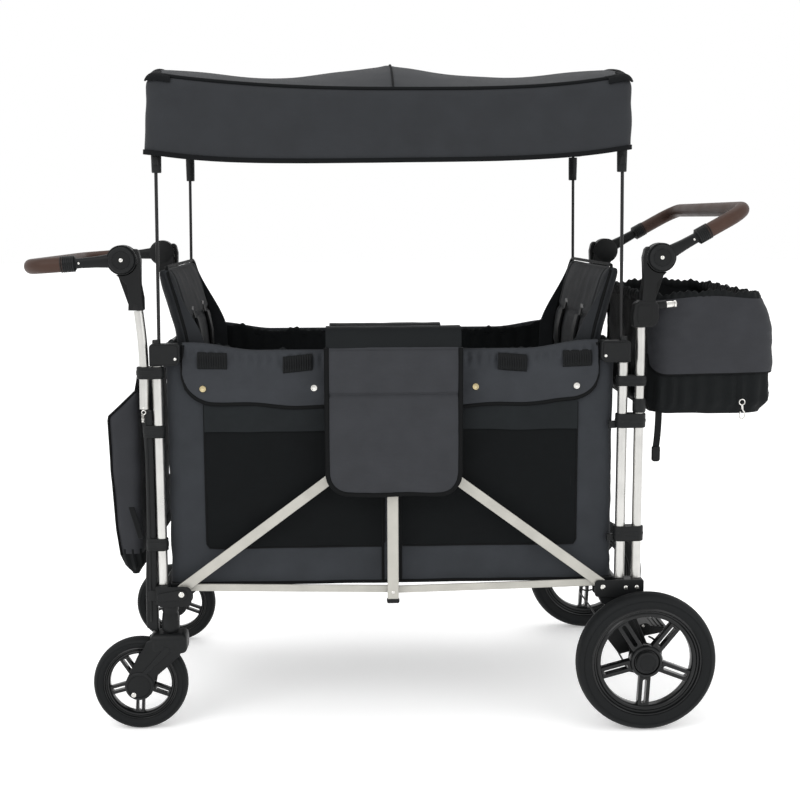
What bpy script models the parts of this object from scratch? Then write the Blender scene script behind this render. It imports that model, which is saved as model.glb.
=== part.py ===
"""Folding child wagon with a pull handle, a push handle, a canopy and two bags.

Units are metres, +Z is up.  The wagon's length runs along X (front at -X, rear at +X), its left side is at -Y.
Sizes are given about the middle of the frame; the last step slides the whole wagon along X so that its box is
centred on the origin.
"""
import math

import bmesh
import bpy
from mathutils import Vector

# ---------------------------------------------------------------- driving sizes: the tubular frame
POST_SPACING = 0.994          # front post axis to rear post axis
POST_TRACK = 0.600            # left post axis to right post axis
POST_LENGTH = 0.475
POST_RADIUS = 0.011
CASTING_LOW = 0.281           # underside of the bottom corner castings
FIT_GAP = 0.0003              # faces that rest on each other
HOLE_CLEARANCE = 0.0004       # round holes over what passes through them
ROUND_SIDES = 16
PIN_SIDES = 12

# corner castings
BOTTOM_CASTING_HEIGHT = 0.0407
TOP_CASTING_HEIGHT = 0.0477
TOP_CASTING_REACH = 0.050     # inward from the post axis
CASTING_WALL = 0.0035
CROSS_TUBE_RADIUS = 0.009
CROSS_TUBE_RISE = 0.018       # bottom cross tube above the casting's underside

# the fold: half rails lift in the middle, diagonals follow on a slider
RAIL_PIVOT_INSET = 0.042      # corner pivot inward from the post axis
CORNER_PIVOT_RISE = 0.032     # above the casting's underside
MIDDLE_PIVOT_DROP = 0.010     # middle pivot below the corner pivots
HUB_RISE = 0.337              # diagonals' upper ends above the corner pivots
FOLD_ANGLE = math.radians(65)
RAIL_HEIGHT = 0.016
DIAGONAL_HEIGHT = 0.022
BAR_THICKNESS = 0.005
LAYER_GAP = 0.001
RIVET_RADIUS = 0.004
CHEEK_MARGIN = 0.009          # casting cheek round the corner rivet
PLATE_THICKNESS = 0.0035
CENTRE_POST_WIDTH = 0.024
CENTRE_POST_THICKNESS = 0.009
CENTRE_POST_OVER_HUB = 0.065
CENTRE_FOOT_DROP = 0.022      # foot below the middle pivot
HUB_HEIGHT = 0.044
HUB_CHEEK = 0.008

# guide struts, and clamps along the tubes as (distance from the post's end, height)
STRUT_GAP = 0.002             # between strut and front post
STRUT_WIDTH = 0.022
STRUT_TOP_DROP = 0.097        # below the top of the post
STRUT_CLAMP_REACH = 0.020
FRONT_LOW_CLAMP = (0.075, 0.027)
FRONT_HIGH_CLAMP = (0.127, 0.027)
REAR_LOW_CLAMP = (0.083, 0.033)
REAR_HIGH_CLAMPS = ((0.111, 0.026), (0.029, 0.021))
TUBE_COLLAR = (0.077, 0.028)
TUBE_COLLAR_WALL = 0.003

# wheels
FRONT_WHEEL_RADIUS = 0.1025
FRONT_TYRE_WIDTH = 0.036
SWIVEL_INSET = 0.013          # swivel axis inward from the front post axis
CASTER_TRAIL = 0.067
REAR_WHEEL_RADIUS = 0.1525
REAR_TYRE_WIDTH = 0.048
REAR_AXLE_SETBACK = 0.049     # behind the rear post axis
REAR_WHEEL_OUTSET = 0.060     # outward from the post axis
TYRE_DEPTH_SHARE = 0.20       # tyre section depth over wheel radius
RIM_BAND_SHARE = 0.13         # rim band depth over wheel radius
HUB_SHARE = 0.23              # wheel hub radius over wheel radius
SPOKE_SHARE = 0.075           # half a spoke's width over wheel radius
SPOKES = 5
WHEEL_SIDES = 24
AXLE_RADIUS = 0.004
REAR_AXLE_RADIUS = 0.008
AXLE_ARM_THICKNESS = 0.018
AXLE_ARM_TOP_RADIUS = 0.0135
AXLE_ARM_HUB_RADIUS = 0.021
FORK_GAP = 0.002
FORK_PLATE = 0.009
FORK_SHOULDER_RADIUS = 0.0255
FORK_HUB_RADIUS = 0.020
HOUSING_RADIUS = 0.013

# handles
FRONT_TUBE_OFFSET = 0.033     # ahead of the front post
REAR_TUBE_OFFSET = 0.036      # behind the rear post
FRONT_TUBE_END_DROP = 0.092   # below the top of the post
KNUCKLE_RADIUS = 0.031
KNUCKLE_DISC = 0.013          # thickness of the fixed disc
KNUCKLE_RISE = 0.223          # above the top of the posts
FRONT_KNUCKLE_LEAN = 0.032    # knuckle ahead of the front handle tube
REAR_KNUCKLE_LEAN = 0.039     # knuckle behind the rear handle tube
FRONT_SLEEVE_DROP = 0.101     # sleeve foot below the knuckle
REAR_SLEEVE_DROP = 0.099
REAR_SLEEVE_LEAN = 0.010      # sleeve foot behind the tube
REAR_HOUSING_HEIGHT = 0.057
REAR_HOUSING_FRONT = 0.018
REAR_HOUSING_BACK = 0.027
SLEEVE_RADIUS = 0.0145
PEG_OUTSET = 0.036            # bag peg outward from the bag's side
PEG_RADIUS = 0.005
PEG_LENGTH = 0.065
PEG_RISE = 0.007
ARM_RADIUS = 0.0115
ARM_OFFSET_Y = 0.007          # arm plane outward from the post plane
GRIP_WALL = 0.0045
GRIP_BEND = 0.050
BEND_STEPS = 5
FRONT_HANDLE_REACH = 0.198
FRONT_HANDLE_DROP = math.radians(-4)
FRONT_GRIP_START = 0.118
REAR_HANDLE_REACH = 0.209
REAR_HANDLE_RISE = math.radians(29)
REAR_GRIP_START = 0.108

# brake
PEDAL_PIVOT = (0.004, 0.044)  # behind the axle, above it
PEDAL_WIDTH = 0.070
PEDAL_INSET = 0.006           # inward from the post axis
CABLE_RADIUS = 0.0022
CABLE_LOOP_RADIUS = 0.043

# soft tub
TUB_WALL = 0.006
TUB_NEST = 0.009              # front half stands this far outside the rear half
TUB_SIDE_GAP = 0.0035         # tub to posts
TUB_END_GAP = 0.004           # tub to cross tubes
TUB_FLOOR_GAP = 0.013         # tub's lower edge above the corner pivots
NEST_GAP = 0.005
FLOOR_THICKNESS = 0.010
FLOOR_SIDE_GAP = 0.0085
FLOOR_SETBACK = 0.015
SEAT_SIDE_GAP = 0.0155
SEAT_THICKNESS = 0.040
SEAT_DEPTH = 0.215
SEAT_HINGE_INSET = 0.079      # seat hinge inward from the post axis
SEAT_RISE = 0.234             # seat above the tub's lower edge
BACK_SIDE_GAP = 0.0085
BACK_THICKNESS = 0.030
BACK_RISE = 0.167            # backrest top above the tub
BACK_INSETS = (0.072, 0.055, 0.019)   # inner face inward from the post axis: foot, waist, top
FLAP_WIDTH = 0.285
FLAP_DROP = 0.329             # lower edge below the tub's rim
FLAP_ROLL = 0.038             # upper edge above the tub's rim
FLAP_THICKNESS = 0.0045
FLAP_TUCK_DEPTH = 0.045       # inner edge below the tub's rim
FLAP_TUCK_GAP = 0.004

# bags, with outlines as (distance behind or ahead of the frame, height over the bag's lowest line)
BAG_WALL = 0.004
BAG_SIDE_INSET = 0.050        # bag's side inward from the post axis
REAR_BAG_GAP = 0.005          # to the handle housings
REAR_BAG_DROP = 0.159        # lowest line below the tub's rim
REAR_BAG_OUTLINE = ((0.012, 0.0), (0.272, 0.0), (0.279, 0.094), (0.244, 0.269), (0.0, 0.249))
FRONT_BAG_GAP = 0.0025        # to the handle tube clamps
FRONT_BAG_RISE = 0.018        # lowest line above the post's foot
FRONT_BAG_OUTLINE = ((0.0, 0.0), (0.030, 0.0), (0.052, 0.030), (0.070, 0.339), (0.0, 0.399))

# canopy
CANOPY_RISE = 0.400          # hem above the tub's rim
CANOPY_VALANCE = 0.140
CANOPY_CROWN_RISE = 0.060
CANOPY_OUTSET = 0.031         # side beyond the post axis
CANOPY_OVERHANG = 0.015       # end wall beyond the post axis
CANOPY_WALL = 0.004
CANOPY_NEST = 0.008
CANOPY_SPLIT = 0.012
CANOPY_GAP = 0.023            # between the two halves
CANOPY_SHOULDER = 0.022       # shoulder inward from the side
CANOPY_STEPS = 8
ROD_RADIUS = 0.0035
ROD_SIDES = 8
ROD_SOCKET_RADIUS = 0.009
ROD_SOCKET_DROP = 0.050       # socket below the hem
BOW_CLEARANCE = 0.007

# ---------------------------------------------------------------- worked out from them
POST_X = POST_SPACING / 2
POST_Y = POST_TRACK / 2
POST_BOTTOM = CASTING_LOW + BOTTOM_CASTING_HEIGHT + FIT_GAP
POST_TOP = POST_BOTTOM + POST_LENGTH
TOP_CASTING_LOW = POST_TOP + FIT_GAP
CASTING_HALF_WIDTH = POST_RADIUS + CASTING_WALL
CORNER_PIVOT_Z = CASTING_LOW + CORNER_PIVOT_RISE
MIDDLE_PIVOT_Z = CORNER_PIVOT_Z - MIDDLE_PIVOT_DROP
HUB_Z = CORNER_PIVOT_Z + HUB_RISE
PIVOT_X = POST_X - RAIL_PIVOT_INSET
HALF_RAIL = math.hypot(PIVOT_X, MIDDLE_PIVOT_DROP)
RAIL_SLOPE = math.asin(MIDDLE_PIVOT_DROP / HALF_RAIL)
FOLDED_HALF = HALF_RAIL * math.cos(FOLD_ANGLE - RAIL_SLOPE)
FOLD_TRAVEL = 2 * (PIVOT_X - FOLDED_HALF)
SWIVEL_X = -(POST_X - SWIVEL_INSET)
FRONT_WHEEL_X = SWIVEL_X - CASTER_TRAIL
REAR_WHEEL_X = POST_X + REAR_AXLE_SETBACK
REAR_WHEEL_Y = POST_Y + REAR_WHEEL_OUTSET
FRONT_TUBE_X = -(POST_X + FRONT_TUBE_OFFSET)
REAR_TUBE_X = POST_X + REAR_TUBE_OFFSET
KNUCKLE_Z = POST_TOP + KNUCKLE_RISE
TUB_LOW = CORNER_PIVOT_Z + TUB_FLOOR_GAP
TUB_TOP = TOP_CASTING_LOW + TOP_CASTING_HEIGHT
TUB_END_X = POST_X - CROSS_TUBE_RADIUS - TUB_END_GAP
TUB_HALF_WIDTH = POST_Y - POST_RADIUS - TUB_SIDE_GAP
TUB_ROOM_HALF = TUB_HALF_WIDTH - TUB_NEST - TUB_WALL
SEAT_TOP = TUB_LOW + SEAT_RISE
BAG_HALF_WIDTH = POST_Y - BAG_SIDE_INSET
CANOPY_HEM = TUB_TOP + CANOPY_RISE
CANOPY_EDGE = CANOPY_HEM + CANOPY_VALANCE
CANOPY_CROWN = CANOPY_EDGE + CANOPY_CROWN_RISE
CANOPY_HALF_WIDTH = POST_Y + CANOPY_OUTSET

# layers across the side of the frame, each (inner, outer) distance from the middle plane
INNER_PLATE = (POST_Y - 0.0090, POST_Y - 0.0090 + PLATE_THICKNESS)


def next_layer(layer, thickness):
    inner = layer[1] + LAYER_GAP
    return inner, inner + thickness


FRONT_RAIL = next_layer(INNER_PLATE, BAR_THICKNESS)
REAR_RAIL = next_layer(FRONT_RAIL, BAR_THICKNESS)
FRONT_DIAGONAL = next_layer(REAR_RAIL, BAR_THICKNESS)
REAR_DIAGONAL = next_layer(FRONT_DIAGONAL, BAR_THICKNESS)
OUTER_PLATE = next_layer(REAR_DIAGONAL, PLATE_THICKNESS)
CENTRE_LAYER = next_layer(REAR_DIAGONAL, CENTRE_POST_THICKNESS)
HUB_PLATE = next_layer(CENTRE_LAYER, PLATE_THICKNESS)
FLAP_LAYER = next_layer(HUB_PLATE, FLAP_THICKNESS)

SIDES = {"left": -1, "right": 1}
ENDS = {"front": -1, "rear": 1}

MATERIALS = {
    "silver": ((0.72, 0.72, 0.70), 0.32, 1.0),
    "black_plastic": ((0.020, 0.021, 0.022), 0.50, 0.0),
    "rubber": ((0.016, 0.016, 0.017), 0.78, 0.0),
    "gloss_black": ((0.018, 0.018, 0.020), 0.25, 0.0),
    "charcoal_fabric": ((0.050, 0.050, 0.055), 0.90, 0.0),
    "mesh_fabric": ((0.012, 0.013, 0.014), 0.85, 0.0),
    "brown_leather": ((0.090, 0.045, 0.030), 0.55, 0.0),
    "floor_board": ((0.030, 0.030, 0.032), 0.80, 0.0),
    "cable": ((0.010, 0.010, 0.010), 0.45, 0.0),
}


# ---------------------------------------------------------------- modelling helpers
def clear_scene():
    for old in list(bpy.data.objects):
        bpy.data.objects.remove(old, do_unlink=True)


def make_material(name):
    colour, roughness, metallic = MATERIALS[name]
    material = bpy.data.materials.get(name) or bpy.data.materials.new(name)
    material.use_nodes = True
    shader = material.node_tree.nodes["Principled BSDF"]
    shader.inputs["Base Color"].default_value = (*colour, 1.0)
    shader.inputs["Roughness"].default_value = roughness
    shader.inputs["Metallic"].default_value = metallic
    return material


def mesh_object(name, bm):
    bmesh.ops.recalc_face_normals(bm, faces=bm.faces)
    mesh = bpy.data.meshes.new(name)
    bm.to_mesh(mesh)
    bm.free()
    piece = bpy.data.objects.new(name, mesh)
    bpy.context.scene.collection.objects.link(piece)
    return piece


PLANES = {
    "XZ": lambda a, b, depth: (a, depth, b),
    "YZ": lambda a, b, depth: (depth, a, b),
    "XY": lambda a, b, depth: (a, b, depth),
}


def prism(outline, plane, low, high, name="shape"):
    """A closed outline in one plane, extruded along the third axis from low to high."""
    to_space = PLANES[plane]
    bm = bmesh.new()
    base = bm.faces.new([bm.verts.new(to_space(a, b, low)) for a, b in outline])
    grown = bmesh.ops.extrude_face_region(bm, geom=[base])
    step = Vector(to_space(0, 0, high)) - Vector(to_space(0, 0, low))
    top = [part for part in grown["geom"] if isinstance(part, bmesh.types.BMVert)]
    bmesh.ops.translate(bm, verts=top, vec=step)
    return mesh_object(name, bm)


def box(low, high, name="shape"):
    (x0, y0, z0), (x1, y1, z1) = low, high
    return prism([(x0, y0), (x1, y0), (x1, y1), (x0, y1)], "XY", z0, z1, name)


def sided(side, inner, outer):
    """Low and high Y of a layer on one side of the wagon."""
    return sorted((side * inner, side * outer))


def rod(start, end, radius, sides=ROUND_SIDES, name="shape"):
    start, end = Vector(start), Vector(end)
    bm = bmesh.new()
    bmesh.ops.create_cone(
        bm, cap_ends=True, segments=sides, radius1=radius, radius2=radius, depth=(end - start).length
    )
    turn = (end - start).to_track_quat("Z", "Y").to_matrix()
    bmesh.ops.rotate(bm, verts=bm.verts, matrix=turn)
    bmesh.ops.translate(bm, verts=bm.verts, vec=(start + end) / 2)
    return mesh_object(name, bm)


def capsule_outline(start, end, start_radius, end_radius, steps=6):
    """Outline of a link with round ends between two points of a plane."""
    heading = math.atan2(end[1] - start[1], end[0] - start[0])
    points = []
    for centre, radius, first in ((end, end_radius, -90), (start, start_radius, 90)):
        for step in range(steps + 1):
            angle = heading + math.radians(first + 180 * step / steps)
            points.append((centre[0] + radius * math.cos(angle), centre[1] + radius * math.sin(angle)))
    return points


def swept_tube(path, radius, sides, bore=0.0, name="shape"):
    """A round tube along a path of points, hollow where a bore is given."""
    path = [Vector(point) for point in path]
    bm = bmesh.new()
    rings = {"outer": [], "inner": []}
    normal = None
    for index, point in enumerate(path):
        ahead = path[min(index + 1, len(path) - 1)]
        behind = path[max(index - 1, 0)]
        along = (ahead - behind).normalized()
        if normal is None:
            normal = along.orthogonal()
        normal = (normal - along * normal.dot(along)).normalized()
        across = along.cross(normal)
        for kind, size in (("outer", radius), ("inner", bore)):
            if size:
                ring = []
                for step in range(sides):
                    angle = 2 * math.pi * step / sides
                    offset = size * (math.cos(angle) * normal + math.sin(angle) * across)
                    ring.append(bm.verts.new(point + offset))
                rings[kind].append(ring)
    for loops in rings.values():
        for ring, following in zip(loops, loops[1:]):
            for step in range(sides):
                nxt = (step + 1) % sides
                bm.faces.new((ring[step], ring[nxt], following[nxt], following[step]))
    for end in (0, -1):
        outer = rings["outer"][end]
        if bore:
            inner = rings["inner"][end]
            for step in range(sides):
                nxt = (step + 1) % sides
                bm.faces.new((outer[step], outer[nxt], inner[nxt], inner[step]))
        else:
            bm.faces.new(outer)
    return mesh_object(name, bm)


def turned_ring(profile, centre, sides=WHEEL_SIDES, name="shape"):
    """A closed profile of (radius, y) points turned round the Y axis through a point."""
    bm = bmesh.new()
    verts = [bm.verts.new((radius, y, 0.0)) for radius, y in profile]
    edges = [bm.edges.new((verts[i], verts[(i + 1) % len(verts)])) for i in range(len(verts))]
    bmesh.ops.spin(
        bm, geom=verts + edges, axis=(0, 1, 0), cent=(0, 0, 0), angle=2 * math.pi, steps=sides, use_merge=False
    )
    bmesh.ops.remove_doubles(bm, verts=bm.verts, dist=0.00005)
    bmesh.ops.translate(bm, verts=bm.verts, vec=centre)
    return mesh_object(name, bm)


def combine(piece, tools, operation):
    """Apply exact Booleans to a piece, one tool at a time."""
    for tool in tools:
        step = piece.modifiers.new("combine", "BOOLEAN")
        step.operation = operation
        step.solver = "EXACT"
        step.object = tool
        graph = bpy.context.evaluated_depsgraph_get()
        mesh = bpy.data.meshes.new_from_object(piece.evaluated_get(graph))
        piece.modifiers.clear()
        piece.data = mesh
        bpy.data.objects.remove(tool, do_unlink=True)
    return piece


def fuse(piece, *tools):
    return combine(piece, tools, "UNION")


def cut(piece, *tools):
    return combine(piece, tools, "DIFFERENCE")


def finish(piece, name, material, origin=(0.0, 0.0, 0.0)):
    """Name and dress a piece, with its own origin at the given point, and hang it on the wagon."""
    piece.name = name
    piece.data.name = name
    origin = Vector(origin)
    piece.data.transform(piece.matrix_world)
    piece.matrix_world.identity()
    for vertex in piece.data.vertices:
        vertex.co -= origin
    piece.location = origin
    piece.data.materials.clear()
    piece.data.materials.append(make_material(material))
    piece.data.shade_smooth()
    piece.data.set_sharp_from_angle(angle=math.radians(35))
    piece.parent = bpy.data.objects[WAGON]
    return piece


WAGON = "wagon"


# ---------------------------------------------------------------- wheels
def make_wheel(names, centre, radius, tyre_width, bore, origin):
    """Tyre and spoked rim of one wheel, turning on the Y axis through its centre."""
    tyre_name, rim_name = names
    depth = TYRE_DEPTH_SHARE * radius
    inner = radius - depth
    half = tyre_width / 2
    tyre_profile = [
        (inner, -0.62 * half), (radius - 0.55 * depth, -half), (radius - 0.16 * depth, -0.72 * half),
        (radius, -0.25 * half), (radius, 0.25 * half), (radius - 0.16 * depth, 0.72 * half),
        (radius - 0.55 * depth, half), (inner, 0.62 * half),
    ]
    finish(turned_ring(tyre_profile, centre), tyre_name, "rubber", origin)

    rim_outer = inner - FIT_GAP
    rim_inner = rim_outer - RIM_BAND_SHARE * radius
    rim_half = 0.55 * half
    band = [(rim_inner, -rim_half), (rim_outer, -rim_half), (rim_outer, rim_half), (rim_inner, rim_half)]
    rim = turned_ring(band, centre)
    hub_radius = HUB_SHARE * radius
    hub = rod(Vector(centre) - Vector((0, half, 0)), Vector(centre) + Vector((0, half, 0)), hub_radius, 20)
    spokes = []
    for number in range(SPOKES):
        angle = math.radians(-90) + 2 * math.pi * number / SPOKES
        heading = Vector((math.cos(angle), 0, math.sin(angle)))
        start = 0.6 * hub_radius
        end = rim_inner + 0.5 * (rim_outer - rim_inner)
        side = Vector((-heading.z, 0, heading.x)) * SPOKE_SHARE * radius
        near, far = Vector(centre) + heading * start, Vector(centre) + heading * end
        outline = [(p.x, p.z) for p in (near - side, far - side, far + side, near + side)]
        spokes.append(prism(outline, "XZ", centre[1] - 0.4 * rim_half, centre[1] + 0.4 * rim_half))
    fuse(rim, hub, *spokes)
    through = Vector((0, 2 * half, 0))
    cut(rim, rod(Vector(centre) - through, Vector(centre) + through, bore + HOLE_CLEARANCE, PIN_SIDES))
    finish(rim, rim_name, "gloss_black", origin)


def make_caster(side_name, side):
    """Fork with its axle; the wheel trails the swivel axis."""
    crown_low = 2 * FRONT_WHEEL_RADIUS + FORK_GAP
    crown_high = crown_low + FORK_PLATE
    half_tyre = FRONT_TYRE_WIDTH / 2
    leg_inner = half_tyre + FORK_GAP
    leg_outer = leg_inner + FORK_PLATE
    y = side * POST_Y
    shoulder = (SWIVEL_X + 0.003, crown_high + 0.0005 - FORK_SHOULDER_RADIUS)
    hub = (FRONT_WHEEL_X, FRONT_WHEEL_RADIUS)
    outline = capsule_outline(shoulder, hub, FORK_SHOULDER_RADIUS, FORK_HUB_RADIUS)
    fork = prism(outline, "XZ", y - leg_outer, y - leg_inner)
    other_leg = prism(outline, "XZ", y + leg_inner, y + leg_outer)
    crown = box(
        (SWIVEL_X - 0.016, y - leg_outer + 0.001, crown_low),
        (SWIVEL_X + 0.020, y + leg_outer - 0.001, crown_high - 0.0005),
    )
    axle_half = leg_outer - 0.001
    axle = rod((hub[0], y - axle_half, hub[1]), (hub[0], y + axle_half, hub[1]), AXLE_RADIUS, PIN_SIDES)
    fuse(fork, other_leg, crown, axle)
    finish(fork, f"caster_fork_{side_name}", "black_plastic", (SWIVEL_X, y, crown_high))
    make_wheel(
        (f"front_tyre_{side_name}", f"front_rim_{side_name}"),
        (hub[0], y, hub[1]), FRONT_WHEEL_RADIUS, FRONT_TYRE_WIDTH, AXLE_RADIUS, (hub[0], y, hub[1]),
    )
    return crown_high


# ---------------------------------------------------------------- frame
def make_posts():
    for end_name, end in ENDS.items():
        for side_name, side in SIDES.items():
            x, y = end * POST_X, side * POST_Y
            post = rod((x, y, POST_BOTTOM), (x, y, POST_TOP), POST_RADIUS)
            finish(post, f"{end_name}_post_{side_name}", "silver")


def ring_clamp(end, side, tube_offset, low, high, holds_tube):
    """A moulded clamp round a post that reaches out to the tube beside it."""
    x, y = end * POST_X, side * POST_Y
    reach = tube_offset + (CASTING_HALF_WIDTH if holds_tube else 0.0)
    x0, x1 = sorted((x - end * CASTING_HALF_WIDTH, x + end * reach))
    y0, y1 = sided(side, TUB_HALF_WIDTH + FIT_GAP, POST_Y + CASTING_HALF_WIDTH)
    clamp = box((x0, y0, low), (x1, y1, high))
    hole = rod((x, y, low - 0.01), (x, y, high + 0.01), POST_RADIUS + HOLE_CLEARANCE)
    return cut(clamp, hole)


def corner_casting(end, side, extra_reach):
    """Bottom corner casting: post block with two cheeks that carry the rail and diagonal rivet."""
    top = POST_BOTTOM - FIT_GAP
    block_inner = POST_X - CASTING_HALF_WIDTH
    x0, x1 = sorted((end * block_inner, end * (POST_X + CASTING_HALF_WIDTH + extra_reach)))
    y0, y1 = sided(side, INNER_PLATE[0], OUTER_PLATE[1])
    block = box((x0, y0, CASTING_LOW), (x1, y1, top))
    cheek_inner = PIVOT_X - RIVET_RADIUS - CHEEK_MARGIN
    parts = []
    for layer in (INNER_PLATE, OUTER_PLATE):
        c0, c1 = sorted((end * cheek_inner, end * (block_inner + 0.004)))
        l0, l1 = sided(side, *layer)
        parts.append(box((c0, l0, CASTING_LOW + 0.006), (c1, l1, top - 0.0005)))
    pin_low, pin_high = sided(side, INNER_PLATE[0] + 0.001, OUTER_PLATE[1] - 0.001)
    pin_x = end * PIVOT_X
    parts.append(rod((pin_x, pin_low, CORNER_PIVOT_Z), (pin_x, pin_high, CORNER_PIVOT_Z), RIVET_RADIUS, PIN_SIDES))
    return fuse(block, *parts)


def bottom_cross_tube(end):
    z = CASTING_LOW + CROSS_TUBE_RISE
    return rod((end * POST_X, -POST_Y, z), (end * POST_X, POST_Y, z), CROSS_TUBE_RADIUS)


def make_front_bottom_crossbar(crown_high):
    """Both front corner castings, the caster housings, the guide struts and the tube that ties them."""
    housing_low = crown_high + FIT_GAP
    strut_x = -(POST_X + POST_RADIUS + STRUT_GAP + STRUT_WIDTH / 2)
    strut_top = POST_TOP - STRUT_TOP_DROP
    low_clamp = POST_BOTTOM + FRONT_LOW_CLAMP[0]
    high_clamp = POST_TOP - FRONT_HIGH_CLAMP[0] - FRONT_HIGH_CLAMP[1]
    clamps = ((low_clamp, low_clamp + FRONT_LOW_CLAMP[1]), (high_clamp, high_clamp + FRONT_HIGH_CLAMP[1]))
    whole = bottom_cross_tube(-1)
    for side in SIDES.values():
        y = side * POST_Y
        strut_y = sided(side, POST_Y - 0.010, POST_Y + 0.006)
        strut = box(
            (strut_x - STRUT_WIDTH / 2, strut_y[0], housing_low + 0.006),
            (strut_x + STRUT_WIDTH / 2, strut_y[1], strut_top),
        )
        housing = rod((SWIVEL_X, y, housing_low), (SWIVEL_X, y, CASTING_LOW + 0.010), HOUSING_RADIUS)
        tie = box(
            (strut_x - 0.004, y - 0.008, CASTING_LOW + 0.003), (-POST_X, y + 0.004, CASTING_LOW + 0.030)
        )
        fuse(whole, corner_casting(-1, side, 0.0), housing, tie, strut)
        for low, high in clamps:
            fuse(whole, ring_clamp(-1, side, STRUT_CLAMP_REACH, low, high, False))
    finish(whole, "front_bottom_crossbar", "black_plastic")


def make_rear_bottom_crossbar():
    """Both rear corner castings, the axle arms, the axle and the tube that ties them."""
    wheel_z = REAR_WHEEL_RADIUS
    arm_top = (POST_X - 0.002, CASTING_LOW + 0.010)
    axle_end = REAR_WHEEL_Y + REAR_TYRE_WIDTH / 2 - 0.004
    whole = bottom_cross_tube(1)
    for side in SIDES.values():
        arm_y = sided(side, POST_Y, POST_Y + AXLE_ARM_THICKNESS)
        outline = capsule_outline(arm_top, (REAR_WHEEL_X, wheel_z), AXLE_ARM_TOP_RADIUS, AXLE_ARM_HUB_RADIUS)
        fuse(whole, corner_casting(1, side, REAR_TUBE_OFFSET + 0.0005), prism(outline, "XZ", *arm_y))
    axle = rod((REAR_WHEEL_X, -axle_end, wheel_z), (REAR_WHEEL_X, axle_end, wheel_z), REAR_AXLE_RADIUS)
    fuse(whole, axle)
    finish(whole, "rear_bottom_crossbar", "black_plastic")


def make_top_crossbar(end_name, end):
    """Top corner castings with sockets for the canopy rods, and the tube between them."""
    middle_z = (TOP_CASTING_LOW + TUB_TOP) / 2
    bar = rod((end * POST_X, -POST_Y, middle_z), (end * POST_X, POST_Y, middle_z), CROSS_TUBE_RADIUS)
    for side in SIDES.values():
        x0, x1 = sorted((end * (POST_X - TOP_CASTING_REACH), end * (POST_X + CASTING_HALF_WIDTH)))
        y0, y1 = sided(side, TUB_HALF_WIDTH + 0.001, POST_Y + CASTING_HALF_WIDTH)
        fuse(bar, box((x0, y0, TOP_CASTING_LOW), (x1, y1, TUB_TOP)))
    for side in SIDES.values():
        x, y = end * POST_X, side * POST_Y
        bore = ROD_RADIUS + HOLE_CLEARANCE
        cut(bar, rod((x, y, TOP_CASTING_LOW + 0.004), (x, y, TUB_TOP + 0.01), bore, PIN_SIDES))
    finish(bar, f"{end_name}_top_crossbar", "black_plastic")


# ---------------------------------------------------------------- fold linkage
def pivot_hole(x, z, layer, side):
    y0, y1 = sided(side, layer[0] - 0.004, layer[1] + 0.004)
    return rod((x, y0, z), (x, y1, z), RIVET_RADIUS + HOLE_CLEARANCE, PIN_SIDES)


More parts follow.
